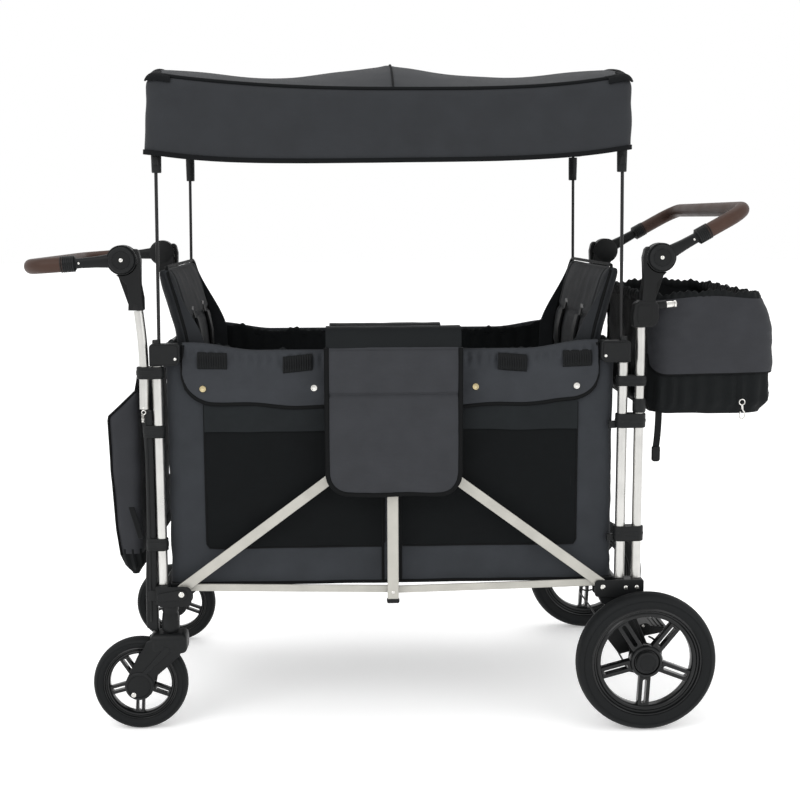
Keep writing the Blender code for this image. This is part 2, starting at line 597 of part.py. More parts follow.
def make_linkage():
    for end_name, end in ENDS.items():
        corner = (end * PIVOT_X, CORNER_PIVOT_Z)
        middle = (0.0, MIDDLE_PIVOT_Z)
        hub = (0.0, HUB_Z)
        rail_layer = FRONT_RAIL if end < 0 else REAR_RAIL
        diagonal_layer = FRONT_DIAGONAL if end < 0 else REAR_DIAGONAL
        rail_outline = capsule_outline(corner, middle, RAIL_HEIGHT / 2, RAIL_HEIGHT / 2, 4)
        diagonal_outline = capsule_outline(corner, hub, DIAGONAL_HEIGHT / 2, DIAGONAL_HEIGHT / 2, 4)
        for side_name, side in SIDES.items():
            pivot = (corner[0], side * rail_layer[0], corner[1])
            rail = prism(rail_outline, "XZ", *sided(side, *rail_layer))
            cut(rail, pivot_hole(*corner, rail_layer, side), pivot_hole(*middle, rail_layer, side))
            finish(rail, f"rail_{end_name}_{side_name}", "silver", pivot)
            diagonal = prism(diagonal_outline, "XZ", *sided(side, *diagonal_layer))
            cut(diagonal, pivot_hole(*corner, diagonal_layer, side))
            finish(diagonal, f"diagonal_{end_name}_{side_name}", "silver", pivot)
        board_low = CORNER_PIVOT_Z + 0.002
        x0, x1 = sorted((end * (PIVOT_X - FLOOR_SETBACK), end * 0.004))
        board_half = TUB_ROOM_HALF - FLOOR_SIDE_GAP
        board = box((x0, -board_half, board_low), (x1, board_half, board_low + FLOOR_THICKNESS))
        finish(board, f"floor_board_{end_name}", "floor_board", (corner[0], 0, corner[1]))

    half_width = CENTRE_POST_WIDTH / 2
    for side_name, side in SIDES.items():
        y0, y1 = sided(side, *CENTRE_LAYER)
        post = box(
            (-half_width, y0, MIDDLE_PIVOT_Z - CENTRE_FOOT_DROP), (half_width, y1, HUB_Z + CENTRE_POST_OVER_HUB)
        )
        pin_y = sided(side, FRONT_RAIL[0] - 0.0015, CENTRE_LAYER[0] + 0.002)
        pin = rod((0, pin_y[0], MIDDLE_PIVOT_Z), (0, pin_y[1], MIDDLE_PIVOT_Z), RIVET_RADIUS, PIN_SIDES)
        fuse(post, pin)
        finish(post, f"centre_post_{side_name}", "silver", (0, y0, MIDDLE_PIVOT_Z))

        cheek = half_width + LAYER_GAP
        hub_y = sided(side, CENTRE_LAYER[0], HUB_PLATE[1])
        reach, half_height = cheek + HUB_CHEEK, HUB_HEIGHT / 2
        hub = box((-reach, hub_y[0], HUB_Z - half_height), (reach, hub_y[1], HUB_Z + half_height))
        slot_y = sided(side, CENTRE_LAYER[0] - 0.004, HUB_PLATE[0])
        cut(hub, box((-cheek, slot_y[0], HUB_Z - HUB_HEIGHT), (cheek, slot_y[1], HUB_Z + HUB_HEIGHT)))
        finish(hub, f"hub_{side_name}", "black_plastic", (0, hub_y[0], HUB_Z))

        outer = side * FLAP_LAYER[1]
        inner = side * FLAP_LAYER[0]
        tuck_outer = side * (TUB_ROOM_HALF - FLAP_TUCK_GAP)
        tuck_inner = tuck_outer - side * FLAP_THICKNESS
        low, high, tuck_low = TUB_TOP - FLAP_DROP, TUB_TOP + FLAP_ROLL, TUB_TOP - FLAP_TUCK_DEPTH
        under = high - FLAP_THICKNESS
        outline = [
            (outer, low), (outer, high), (tuck_inner, high), (tuck_inner, tuck_low),
            (tuck_outer, tuck_low), (tuck_outer, under), (inner, under), (inner, low),
        ]
        flap = prism(outline, "YZ", -FLAP_WIDTH / 2, FLAP_WIDTH / 2)
        finish(flap, f"side_flap_{side_name}", "charcoal_fabric", (0, outer, HUB_Z))


# ---------------------------------------------------------------- handles
def handle_path(knuckle, end, reach, rise, start):
    """Points of the U bar from one arm to the other, starting a distance out along the arm."""
    arm_y = POST_Y + ARM_OFFSET_Y
    along = Vector((end * math.cos(rise), 0, math.sin(rise)))
    base = Vector((knuckle[0], 0, knuckle[1]))
    points = [base + along * start + Vector((0, -arm_y, 0))]
    for step in range(BEND_STEPS + 1):
        angle = math.radians(90 * step / BEND_STEPS)
        forward = reach - GRIP_BEND + GRIP_BEND * math.sin(angle)
        y = -arm_y + GRIP_BEND * (1 - math.cos(angle))
        points.append(base + along * forward + Vector((0, y, 0)))
    return points + [Vector((p.x, -p.y, p.z)) for p in reversed(points)]


def make_handle(end_name, end, knuckle, reach, rise, grip_start, foot):
    """U bar, grip, and the two sleeves with their fixed discs; foot is the sleeve's lower end."""
    arm_y = POST_Y + ARM_OFFSET_Y
    disc_split = arm_y - ARM_RADIUS - LAYER_GAP
    path = handle_path(knuckle, end, reach, rise, KNUCKLE_RADIUS * 0.6)
    bar = swept_tube(path, ARM_RADIUS, 10)
    for side in SIDES.values():
        y0, y1 = sided(side, disc_split + FIT_GAP + 0.0002, arm_y + ARM_RADIUS - 0.0005)
        fuse(bar, rod((knuckle[0], y0, knuckle[1]), (knuckle[0], y1, knuckle[1]), KNUCKLE_RADIUS, 20))
        y0, y1 = sided(side, arm_y + ARM_RADIUS - 0.002, arm_y + ARM_RADIUS + 0.004)
        fuse(bar, rod((knuckle[0], y0, knuckle[1]), (knuckle[0], y1, knuckle[1]), KNUCKLE_RADIUS * 0.88, 20))
    finish(bar, f"{end_name}_handle_bar", "black_plastic", (knuckle[0], 0, knuckle[1]))

    grip_path = handle_path(knuckle, end, reach, rise, grip_start)
    grip = swept_tube(grip_path, ARM_RADIUS + GRIP_WALL, 10, ARM_RADIUS + HOLE_CLEARANCE)
    finish(grip, f"{end_name}_grip", "brown_leather", (knuckle[0], 0, knuckle[1]))

    for side_name, side in SIDES.items():
        y = side * POST_Y
        low = Vector((foot[0], y, foot[1]))
        centre = Vector((knuckle[0], y, knuckle[1]))
        down = (low - centre).normalized()
        collar_top = centre + down * (KNUCKLE_RADIUS + 0.005)
        sleeve = rod(low, collar_top, SLEEVE_RADIUS)
        neck_y = sided(side, disc_split - KNUCKLE_DISC + 0.001, disc_split - 0.0005)
        neck_foot = collar_top + down * 0.010
        outline = capsule_outline((centre.x, centre.z), (neck_foot.x, neck_foot.z), 0.012, 0.012)
        disc_y = sided(side, disc_split - KNUCKLE_DISC, disc_split)
        disc = rod((centre.x, disc_y[0], centre.z), (centre.x, disc_y[1], centre.z), KNUCKLE_RADIUS, 20)
        fuse(sleeve, prism(outline, "XZ", *neck_y), disc)
        if end > 0:
            housing_high = foot[1] + 0.008
            housing = box(
                (REAR_TUBE_X - REAR_HOUSING_FRONT, y - 0.016, housing_high - REAR_HOUSING_HEIGHT),
                (REAR_TUBE_X + REAR_HOUSING_BACK, y + 0.015, housing_high),
            )
            peg_x, peg_y, peg_z = REAR_TUBE_X + 0.015, side * (BAG_HALF_WIDTH + PEG_OUTSET), foot[1] - 0.013
            peg = rod((peg_x, peg_y, peg_z), (peg_x + PEG_LENGTH, peg_y, peg_z + PEG_RISE), PEG_RADIUS, PIN_SIDES)
            fuse(sleeve, housing, peg)
        finish(sleeve, f"{end_name}_knuckle_{side_name}", "black_plastic")


def make_handle_tubes():
    sleeve_low = KNUCKLE_Z - FRONT_SLEEVE_DROP
    sleeve_tilt = math.atan2(FRONT_KNUCKLE_LEAN, FRONT_SLEEVE_DROP)
    front_high = sleeve_low - SLEEVE_RADIUS * math.sin(sleeve_tilt) - FIT_GAP
    rear_high = KNUCKLE_Z - REAR_SLEEVE_DROP + 0.008 - REAR_HOUSING_HEIGHT - FIT_GAP
    top_clamp_high = TOP_CASTING_LOW - 0.002
    front_clamps = [(top_clamp_high - FRONT_HIGH_CLAMP[1], top_clamp_high)]
    low_clamp = POST_BOTTOM + REAR_LOW_CLAMP[0]
    rear_clamps = [(low_clamp, low_clamp + REAR_LOW_CLAMP[1])]
    rear_clamps += [(POST_TOP - drop - height, POST_TOP - drop) for drop, height in REAR_HIGH_CLAMPS]
    collar_high = POST_TOP - TUBE_COLLAR[0]
    for side_name, side in SIDES.items():
        y = side * POST_Y
        tube = rod((FRONT_TUBE_X, y, POST_TOP - FRONT_TUBE_END_DROP), (FRONT_TUBE_X, y, front_high), POST_RADIUS)
        for low, high in front_clamps:
            fuse(tube, ring_clamp(-1, side, FRONT_TUBE_OFFSET, low, high, True))
        finish(tube, f"front_handle_tube_{side_name}", "silver")

        tube = rod((REAR_TUBE_X, y, POST_BOTTOM), (REAR_TUBE_X, y, rear_high), POST_RADIUS)
        for low, high in rear_clamps:
            fuse(tube, ring_clamp(1, side, REAR_TUBE_OFFSET, low, high, True))
        collar_low = collar_high - TUBE_COLLAR[1]
        fuse(tube, rod((REAR_TUBE_X, y, collar_low), (REAR_TUBE_X, y, collar_high), POST_RADIUS + TUBE_COLLAR_WALL))
        finish(tube, f"rear_handle_tube_{side_name}", "silver")


# ---------------------------------------------------------------- brake
def make_brake():
    pivot = (REAR_WHEEL_X + PEDAL_PIVOT[0], REAR_WHEEL_RADIUS + PEDAL_PIVOT[1])
    corners = (
        (-0.012, -0.008), (0.012, -0.012), (0.060, -0.002), (0.062, 0.008), (0.010, 0.012), (-0.010, 0.010)
    )
    outline = [(pivot[0] + x, pivot[1] + z) for x, z in corners]
    outer_y = -(POST_Y - PEDAL_INSET)
    pedal = prism(outline, "XZ", outer_y, outer_y + PEDAL_WIDTH)
    finish(pedal, "brake_pedal", "black_plastic", (pivot[0], outer_y, pivot[1]))

    arm_outer = POST_Y + AXLE_ARM_THICKNESS
    wheel_inner = REAR_WHEEL_Y - REAR_TYRE_WIDTH / 2
    loop_y = arm_outer + (wheel_inner - arm_outer) / 4
    arc = []
    for step in range(10):
        angle = math.radians(70 - 185 * step / 9)
        arc.append((
            REAR_WHEEL_X + CABLE_LOOP_RADIUS * math.cos(angle), -loop_y,
            REAR_WHEEL_RADIUS + CABLE_LOOP_RADIUS * math.sin(angle),
        ))
    run_x, run_z = arc[-1][0], arc[-1][2]
    inward = [(run_x - 0.005, -loop_y + 0.020, run_z - 0.004), (run_x - 0.007, -loop_y + 0.060, run_z)]
    across = [(run_x - 0.008, -share * POST_Y, run_z + 0.006) for share in (0.53, 0.17)]
    left_half = arc + inward + across
    path = left_half + [(x, -y, z) for x, y, z in reversed(left_half)]
    finish(swept_tube(path, CABLE_RADIUS, 6), "brake_cable", "cable")


# ---------------------------------------------------------------- soft parts
def tub_outline(end, half_width, split):
    inner_x = TUB_END_X - TUB_WALL
    inner_y = half_width - TUB_WALL
    return [
        (end * split, -half_width), (end * TUB_END_X, -half_width), (end * TUB_END_X, half_width),
        (end * split, half_width), (end * split, inner_y), (end * inner_x, inner_y),
        (end * inner_x, -inner_y), (end * split, -inner_y),
    ]


def make_tub():
    split = FOLD_TRAVEL - (TUB_END_X - TUB_WALL) + NEST_GAP
    seat_half = TUB_ROOM_HALF - SEAT_SIDE_GAP
    back_half = TUB_ROOM_HALF - BACK_SIDE_GAP
    for end_name, end in ENDS.items():
        half_width = TUB_HALF_WIDTH if end < 0 else TUB_HALF_WIDTH - TUB_NEST
        tub = prism(tub_outline(end, half_width, split), "XY", TUB_LOW, TUB_TOP)
        finish(tub, f"tub_{end_name}", "charcoal_fabric")

        hinge_x = POST_X - SEAT_HINGE_INSET
        x0, x1 = sorted((end * hinge_x, end * (hinge_x - SEAT_DEPTH)))
        seat = box((x0, -seat_half, SEAT_TOP - SEAT_THICKNESS), (x1, seat_half, SEAT_TOP))
        finish(seat, f"seat_cushion_{end_name}", "charcoal_fabric", (end * hinge_x, 0, SEAT_TOP))

        heights = (SEAT_TOP + 0.025, TUB_TOP - 0.005, TUB_TOP + BACK_RISE)
        inner_face = [(POST_X - inset, z) for inset, z in zip(BACK_INSETS, heights)]
        outline = [(end * x, z) for x, z in inner_face]
        outline += [(end * (x + BACK_THICKNESS), z) for x, z in reversed(inner_face)]
        back = prism(outline, "XZ", -back_half, back_half)
        finish(back, f"backrest_{end_name}", "charcoal_fabric")


def open_bag(name, end, back, low, outline, room):
    """A bag of cloth hung on one end, from its outline and its room as (distance outward, height)."""
    half_width = BAG_HALF_WIDTH
    outer = [(end * (back + out), low + up) for out, up in outline]
    inner = [(end * (back + out), low + up) for out, up in room]
    bag = prism(outer, "XZ", -half_width, half_width)
    cut(bag, prism(inner, "XZ", -half_width + BAG_WALL, half_width - BAG_WALL))
    finish(bag, name, "charcoal_fabric")


def make_bags():
    back = REAR_TUBE_X + REAR_HOUSING_BACK + REAR_BAG_GAP
    wall, over = BAG_WALL, 0.040
    foot, toe, belly, lip, rim = REAR_BAG_OUTLINE
    room = [
        (foot[0] + wall, wall), (toe[0] - wall, wall), (belly[0] - wall, belly[1]),
        (lip[0] - 2 * wall, rim[1] + over), (wall, rim[1] + over),
    ]
    open_bag("rear_bag", 1, back, TUB_TOP - REAR_BAG_DROP, REAR_BAG_OUTLINE, room)

    back = POST_X + FRONT_TUBE_OFFSET + CASTING_HALF_WIDTH + FRONT_BAG_GAP
    foot, toe, belly, shoulder, rim = FRONT_BAG_OUTLINE
    room = [
        (wall, wall), (toe[0] - 0.5 * wall, wall), (belly[0] - wall, belly[1] + 0.5 * wall),
        (shoulder[0] - wall, shoulder[1] - 0.030), (shoulder[0] - wall, rim[1] + over), (wall, rim[1] + over),
    ]
    open_bag("front_bag", -1, back, POST_BOTTOM + FRONT_BAG_RISE, FRONT_BAG_OUTLINE, room)


def arch(reach, edge, crown, steps=CANOPY_STEPS):
    """Points of a shallow arch from -reach to reach."""
    shares = [-1 + 2 * step / steps for step in range(steps + 1)]
    return [(share * reach, edge + (crown - edge) * (1 - share * share)) for share in shares]


def canopy_profile(inset, hem):
    """Arched roof over straight valances in the YZ plane, a wall or more inside the outer skin."""
    side, edge, crown = CANOPY_HALF_WIDTH - inset, CANOPY_EDGE - inset, CANOPY_CROWN - inset
    low = edge - CANOPY_CROWN_RISE / 2
    roof = arch(side - CANOPY_SHOULDER, edge, crown)
    return [(-side, hem), (-side, low)] + roof + [(side, low), (side, hem)]


def make_canopy():
    for end_name, end in ENDS.items():
        nest = CANOPY_NEST if end < 0 else 0.0
        end_x = POST_X + CANOPY_OVERHANG
        split = CANOPY_SPLIT + (CANOPY_GAP if end < 0 else 0.0)
        x0, x1 = sorted((end * end_x, end * split))
        shell = prism(canopy_profile(nest, CANOPY_HEM), "YZ", x0, x1)
        x0, x1 = sorted((end * (end_x - CANOPY_WALL), end * (split - 0.02)))
        cut(shell, prism(canopy_profile(nest + CANOPY_WALL, CANOPY_HEM - 0.02), "YZ", x0, x1))
        finish(shell, f"canopy_shell_{end_name}", "charcoal_fabric")

        bow_x = end * POST_X
        below = CANOPY_NEST + CANOPY_WALL + BOW_CLEARANCE
        foot, shoulder = TOP_CASTING_LOW + 0.0045, CANOPY_EDGE - below - 0.012
        roof = [(bow_x, y, z) for y, z in arch(POST_Y - CANOPY_SHOULDER, shoulder, CANOPY_CROWN - below)]
        leg = [(bow_x, -POST_Y, foot), (bow_x, -POST_Y, shoulder - 0.040)]
        bow = swept_tube(leg + roof + [(x, -y, z) for x, y, z in reversed(leg)], ROD_RADIUS, ROD_SIDES)
        for side in SIDES.values():
            y = side * POST_Y
            socket = ((bow_x, y, CANOPY_HEM - ROD_SOCKET_DROP), (bow_x, y, CANOPY_HEM + 0.02))
            fuse(bow, rod(*socket, ROD_SOCKET_RADIUS, PIN_SIDES))
        finish(bow, f"canopy_bow_{end_name}", "black_plastic")


# ---------------------------------------------------------------- the whole wagon
def centre_along_x():
    """Slide the wagon so that its box is centred on the origin along X."""
    wagon = bpy.data.objects[WAGON]
    xs = []
    for piece in wagon.children:
        xs += [vertex.co.x + piece.location.x for vertex in piece.data.vertices]
    wagon.location.x = -(min(xs) + max(xs)) / 2


def main():
    clear_scene()
    wagon = bpy.data.objects.new(WAGON, None)
    bpy.context.scene.collection.objects.link(wagon)
    make_posts()
    crown_high = max(make_caster(name, side) for name, side in SIDES.items())
    make_front_bottom_crossbar(crown_high)
    make_rear_bottom_crossbar()
    for end_name, end in ENDS.items():
        make_top_crossbar(end_name, end)
    make_linkage()
    for name, side in SIDES.items():
        centre = (REAR_WHEEL_X, side * REAR_WHEEL_Y, REAR_WHEEL_RADIUS)
        make_wheel(
            (f"rear_tyre_{name}", f"rear_rim_{name}"), centre, REAR_WHEEL_RADIUS, REAR_TYRE_WIDTH,
            REAR_AXLE_RADIUS, centre,
        )
    make_handle_tubes()
    make_handle(
        "front", -1, (FRONT_TUBE_X - FRONT_KNUCKLE_LEAN, KNUCKLE_Z), FRONT_HANDLE_REACH, FRONT_HANDLE_DROP,
        FRONT_GRIP_START, (FRONT_TUBE_X, KNUCKLE_Z - FRONT_SLEEVE_DROP),
    )
    make_handle(
        "rear", 1, (REAR_TUBE_X + REAR_KNUCKLE_LEAN, KNUCKLE_Z), REAR_HANDLE_REACH, REAR_HANDLE_RISE,
        REAR_GRIP_START, (REAR_TUBE_X + REAR_SLEEVE_LEAN, KNUCKLE_Z - REAR_SLEEVE_DROP),
    )
    make_brake()
    make_tub()
    make_bags()
    make_canopy()
    centre_along_x()


main()
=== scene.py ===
"""Looks of the folding child wagon: every visible surface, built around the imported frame.

Units are metres and the frame's own axes: +X towards the push handle, -Y the wagon's left side, +Z up.
"""
import logging
import math
from collections.abc import Callable, Iterable, Sequence
from dataclasses import dataclass, field
from enum import Enum

import bpy
import numpy as np
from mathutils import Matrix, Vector, noise


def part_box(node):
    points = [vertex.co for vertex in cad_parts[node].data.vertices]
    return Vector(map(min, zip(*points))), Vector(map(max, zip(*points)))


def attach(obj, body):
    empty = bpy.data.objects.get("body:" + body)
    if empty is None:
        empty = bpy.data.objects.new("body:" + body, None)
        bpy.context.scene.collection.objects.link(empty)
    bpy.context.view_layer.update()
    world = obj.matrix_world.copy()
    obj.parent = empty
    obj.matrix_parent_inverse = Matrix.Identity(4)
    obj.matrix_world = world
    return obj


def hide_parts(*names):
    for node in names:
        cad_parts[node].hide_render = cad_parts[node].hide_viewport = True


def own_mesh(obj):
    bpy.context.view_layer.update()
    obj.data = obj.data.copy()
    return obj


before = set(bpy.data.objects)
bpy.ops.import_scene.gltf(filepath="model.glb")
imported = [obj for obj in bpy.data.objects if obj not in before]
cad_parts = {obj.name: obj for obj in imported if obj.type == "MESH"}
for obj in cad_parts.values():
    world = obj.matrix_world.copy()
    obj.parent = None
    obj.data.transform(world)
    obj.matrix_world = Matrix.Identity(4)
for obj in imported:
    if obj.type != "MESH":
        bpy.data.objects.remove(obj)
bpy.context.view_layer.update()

log = logging.getLogger("wagon")
Point = Sequence[float]
Solid = bpy.types.Object
SIDES = {"left": -1, "right": 1}
SMOOTH_ANGLE = math.radians(38)


# ---------------------------------------------------------------- places read from the frame
@dataclass(frozen=True)
class Datum:
    """Main places of the tubular frame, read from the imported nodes."""

    mid: float
    post_x: float
    post_y: float
    foot: float
    head: float

    @classmethod
    def from_frame(cls) -> "Datum":
        """Read the posts' places.

        Returns:
            The datum, with the middle of the frame, the posts' distances from it and their ends.
        """
        front_low, front_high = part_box("front_post_left")
        rear_low, rear_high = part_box("rear_post_left")
        front, rear = (front_low + front_high) / 2, (rear_low + rear_high) / 2
        return cls((front.x + rear.x) / 2, (rear.x - front.x) / 2, abs(front.y), front_low.z, front_high.z)

    def at(self, x: float, y: float, z: float) -> Vector:
        """Point given by its distance from the middle of the frame, in the frame's axes."""
        return Vector((self.mid + x, y, z))

    def box(self, node: str) -> tuple[Vector, Vector]:
        """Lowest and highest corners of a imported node, measured from the middle of the frame.

        Args:
            node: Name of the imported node.

        Returns:
            The two corners.
        """
        low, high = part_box(node)
        shift = Vector((self.mid, 0, 0))
        return low - shift, high - shift


D = Datum.from_frame()


# ---------------------------------------------------------------- finishes
class Relief(Enum):
    """What the fine surface of a finish looks like."""

    WOVEN = "woven"
    NET = "net"
    MOULDED = "moulded"
    BRUSHED = "brushed"
    LEATHER = "leather"
    RIBBED = "ribbed"
    PLAIN = "plain"


@dataclass(frozen=True)
class Finish:
    """A material: its colour, gloss and fine relief."""

    name: str
    slot: str
    colour: tuple[float, float, float]
    roughness: float
    relief: Relief = Relief.PLAIN
    metallic: float = 0.0
    coat: float = 0.0
    sheen: float = 0.0
    pitch: float = 0.0016
    depth: float = 0.0002
    mottle: float = 0.25
    patch: float = 0.05
    wear: float = 0.0
    specular: float = 0.5


class Finishes:
    """The wagon's finishes."""

    TUBE = Finish("satin_tube", "silver_tube", (0.52, 0.515, 0.495), 0.30, Relief.BRUSHED, 1.0, wear=0.10)
    BAR = Finish(
        "satin_bar", "silver_bar", (0.41, 0.40, 0.365), 0.45, Relief.BRUSHED, 0.45, wear=0.10, specular=0.3
    )
    PLASTIC = Finish(
        "moulded_black", "black_plastic", (0.0065, 0.0071, 0.0075), 0.42, Relief.MOULDED, wear=0.30,
        specular=0.16
    )
    SLEEVE = Finish(
        "ribbed_black", "black_plastic", (0.0058, 0.0062, 0.0065), 0.50, Relief.MOULDED, wear=0.22,
        specular=0.16
    )
    RUBBER = Finish(
        "tyre_rubber", "tyre", (0.0072, 0.0080, 0.0085), 0.60, Relief.MOULDED, wear=0.25, specular=0.13
    )
    RIM = Finish(
        "gloss_rim", "rim", (0.0048, 0.0053, 0.0056), 0.22, Relief.PLAIN, coat=0.10, wear=0.16, specular=0.22
    )
    LEATHER = Finish(
        "brown_leather", "grip_leather", (0.046, 0.024, 0.017), 0.50, Relief.LEATHER, pitch=0.0022,
        specular=0.2
    )
    CHROME = Finish("bright_screw", "silver_tube", (0.66, 0.65, 0.62), 0.20, Relief.PLAIN, 1.0, mottle=0.1)
    BRASS = Finish("brass_snap", "silver_tube", (0.50, 0.42, 0.25), 0.25, Relief.PLAIN, 1.0, mottle=0.1)
    ROD = Finish(
        "black_rod", "canopy_rod", (0.007, 0.007, 0.0075), 0.35, Relief.PLAIN, coat=0.1, wear=0.15,
        specular=0.2
    )
    CABLE = Finish("cable_sheath", "cable", (0.007, 0.007, 0.007), 0.40, specular=0.2)
    CANOPY = Finish(
        "canopy_cloth", "canopy_fabric", (0.0245, 0.0262, 0.0292), 0.80, Relief.WOVEN, sheen=0.05,
        specular=0.12
    )
    COVER = Finish(
        "cover_cloth", "tub_fabric", (0.0319, 0.0345, 0.0391), 0.82, Relief.WOVEN, sheen=0.05, specular=0.12
    )
    PANEL = Finish(
        "panel_cloth", "tub_fabric", (0.0295, 0.0322, 0.0364), 0.84, Relief.WOVEN, sheen=0.04, specular=0.10
    )
    FLAP = Finish(
        "flap_cloth", "flap_fabric", (0.0317, 0.0332, 0.0372), 0.78, Relief.WOVEN, sheen=0.05, specular=0.12
    )
    SEAT = Finish(
        "seat_cloth", "seat_fabric", (0.0200, 0.0215, 0.0238), 0.84, Relief.WOVEN, sheen=0.05, specular=0.10
    )
    BAG = Finish(
        "bag_cloth", "bag_fabric", (0.0300, 0.0312, 0.0350), 0.82, Relief.WOVEN, sheen=0.05, specular=0.12
    )
    LINING = Finish(
        "black_lining", "tub_fabric", (0.0096, 0.0109, 0.0117), 0.82, Relief.WOVEN, sheen=0.05, specular=0.08
    )
    CANOPY_LINING = Finish(
        "canopy_lining", "canopy_fabric", (0.0060, 0.0066, 0.0072), 0.84, Relief.WOVEN, specular=0.08
    )
    BAG_LINING = Finish(
        "bag_lining", "bag_fabric", (0.0081, 0.0091, 0.0096), 0.82, Relief.WOVEN, sheen=0.05, specular=0.08
    )
    PIPING = Finish(
        "black_piping", "tub_fabric", (0.0042, 0.0046, 0.0049), 0.66, Relief.RIBBED, pitch=0.0030,
        specular=0.08
    )
    WEBBING = Finish(
        "black_webbing", "tub_fabric", (0.0060, 0.0066, 0.0071), 0.60, Relief.RIBBED, pitch=0.0036,
        specular=0.12
    )
    NET = Finish(
        "window_net", "tub_fabric", (0.0053, 0.0060, 0.0064), 0.74, Relief.NET, pitch=0.0024, specular=0.05
    )
    BAND = Finish(
        "doubled_net", "tub_fabric", (0.0122, 0.0139, 0.0150), 0.74, Relief.NET, pitch=0.0024, specular=0.06
    )
    BOARD = Finish("board_cloth", "floor_board", (0.012, 0.0125, 0.0135), 0.85, Relief.WOVEN, specular=0.10)


class Groups:
    """Shader node groups shared by the finishes."""

    def __init__(self) -> None:
        """Start with no group built."""
        self.built: dict[str, bpy.types.NodeTree] = {}

    @staticmethod
    def _start(name: str, inputs: dict[str, float | None], outputs: Iterable[str]) -> tuple:
        """Make an empty group.

        Args:
            name: The group's name.
            inputs: Socket names with their default value, None for a vector.
            outputs: Names of value outputs.

        Returns:
            The tree, its input node and its output node.
        """
        tree = bpy.data.node_groups.new(name, "ShaderNodeTree")
        for label, value in inputs.items():
            kind = "NodeSocketVector" if value is None else "NodeSocketFloat"
            socket = tree.interface.new_socket(name=label, in_out="INPUT", socket_type=kind)
            if value is not None:
                socket.default_value = value
        for label in outputs:
            tree.interface.new_socket(name=label, in_out="OUTPUT", socket_type="NodeSocketFloat")
        return tree, tree.nodes.new("NodeGroupInput"), tree.nodes.new("NodeGroupOutput")

    @staticmethod
    def math(tree: bpy.types.NodeTree, operation: str, first, second=None, clamp: bool = False):
        """Add a Math node.

        Args:
            tree: Tree to add to.
            operation: The node's operation.
            first: A socket or a number.
            second: A socket, a number or nothing.
            clamp: Whether the result is kept from 0 to 1.

        Returns:
            The node's output socket.
        """
        node = tree.nodes.new("ShaderNodeMath")
        node.operation = operation
        node.use_clamp = clamp
        for index, value in enumerate((first, second)):
            if isinstance(value, (int, float)):
                node.inputs[index].default_value = value
            elif value is not None:
                tree.links.new(value, node.inputs[index])
        return node.outputs[0]

    def _plane_pattern(self, name: str, combine: Callable) -> bpy.types.NodeTree:
        """A pattern of two crossing waves in the plane that the surface faces.

        Args:
            name: The group's name.
            combine: Function of the tree and two wave sockets that gives the pattern's socket.

        Returns:
            The group's tree, with one output called Height.
        """
        tree, entry, leave = self._start(name, {"Vector": None, "Facing": None, "Pitch": 0.002}, ["Height"])
        turns = self.math(tree, "DIVIDE", 2 * math.pi, entry.outputs["Pitch"])
        place = tree.nodes.new("ShaderNodeSeparateXYZ")
        facing = tree.nodes.new("ShaderNodeSeparateXYZ")
        tree.links.new(entry.outputs["Vector"], place.inputs[0])
        tree.links.new(entry.outputs["Facing"], facing.inputs[0])
        waves = [
            self.math(tree, "SINE", self.math(tree, "MULTIPLY", place.outputs[i], turns)) for i in range(3)
        ]
        total = None
        for across, first, second in ((0, 1, 2), (1, 0, 2), (2, 0, 1)):
            share = self.math(tree, "ABSOLUTE", facing.outputs[across])
            part = self.math(tree, "MULTIPLY", combine(tree, waves[first], waves[second]), share)
            total = part if total is None else self.math(tree, "ADD", total, part)
        tree.links.new(total, leave.inputs["Height"])
        return tree

    def weave(self) -> bpy.types.NodeTree:
        """Plain weave: threads over and under."""
        return self._plane_pattern("weave", lambda tree, a, b: self.math(tree, "MULTIPLY", a, b))

    def net(self) -> bpy.types.NodeTree:
        """Open net: small holes between crossing threads.

        Returns:
            The finished group.
        """

        def holes(tree: bpy.types.NodeTree, a, b):
            """Threads where either wave is high."""
            return self.math(tree, "MAXIMUM", a, b)

        return self._plane_pattern("net", holes)

    def mottle(self) -> bpy.types.NodeTree:
        """Soft uneven patches, from 1 - amount to 1 + amount.

        Returns:
            The finished group.
        """
        tree, entry, leave = self._start("mottle", {"Vector": None, "Patch": 0.05, "Amount": 0.2}, ["Tone"])
        texture = tree.nodes.new("ShaderNodeTexNoise")
        texture.inputs["Detail"].default_value = 4.0
        tree.links.new(entry.outputs["Vector"], texture.inputs["Vector"])
        tree.links.new(self.math(tree, "DIVIDE", 1.0, entry.outputs["Patch"]), texture.inputs["Scale"])
        swing = self.math(tree, "MULTIPLY", self.math(tree, "SUBTRACT", texture.outputs["Fac"], 0.5), 2.0)
        tone = self.math(tree, "ADD", self.math(tree, "MULTIPLY", swing, entry.outputs["Amount"]), 1.0)
        tree.links.new(tone, leave.inputs["Tone"])
        return tree

    def wear(self) -> bpy.types.NodeTree:
        """Mask of rubbed edges: convex edges, broken up by noise.

        Returns:
            The finished group.
        """
        tree, entry, leave = self._start("edge_wear", {"Vector": None, "Amount": 0.3}, ["Mask"])
        shape = tree.nodes.new("ShaderNodeNewGeometry")
        texture = tree.nodes.new("ShaderNodeTexNoise")
        texture.inputs["Scale"].default_value = 90.0
        tree.links.new(entry.outputs["Vector"], texture.inputs["Vector"])
        edge = self.math(
            tree, "MULTIPLY", self.math(tree, "SUBTRACT", shape.outputs["Pointiness"], 0.52), 9.0, True
        )
        broken = self.math(tree, "MULTIPLY", edge, texture.outputs["Fac"])
        tree.links.new(
            self.math(tree, "MULTIPLY", broken, entry.outputs["Amount"], True), leave.inputs["Mask"]
        )
        return tree

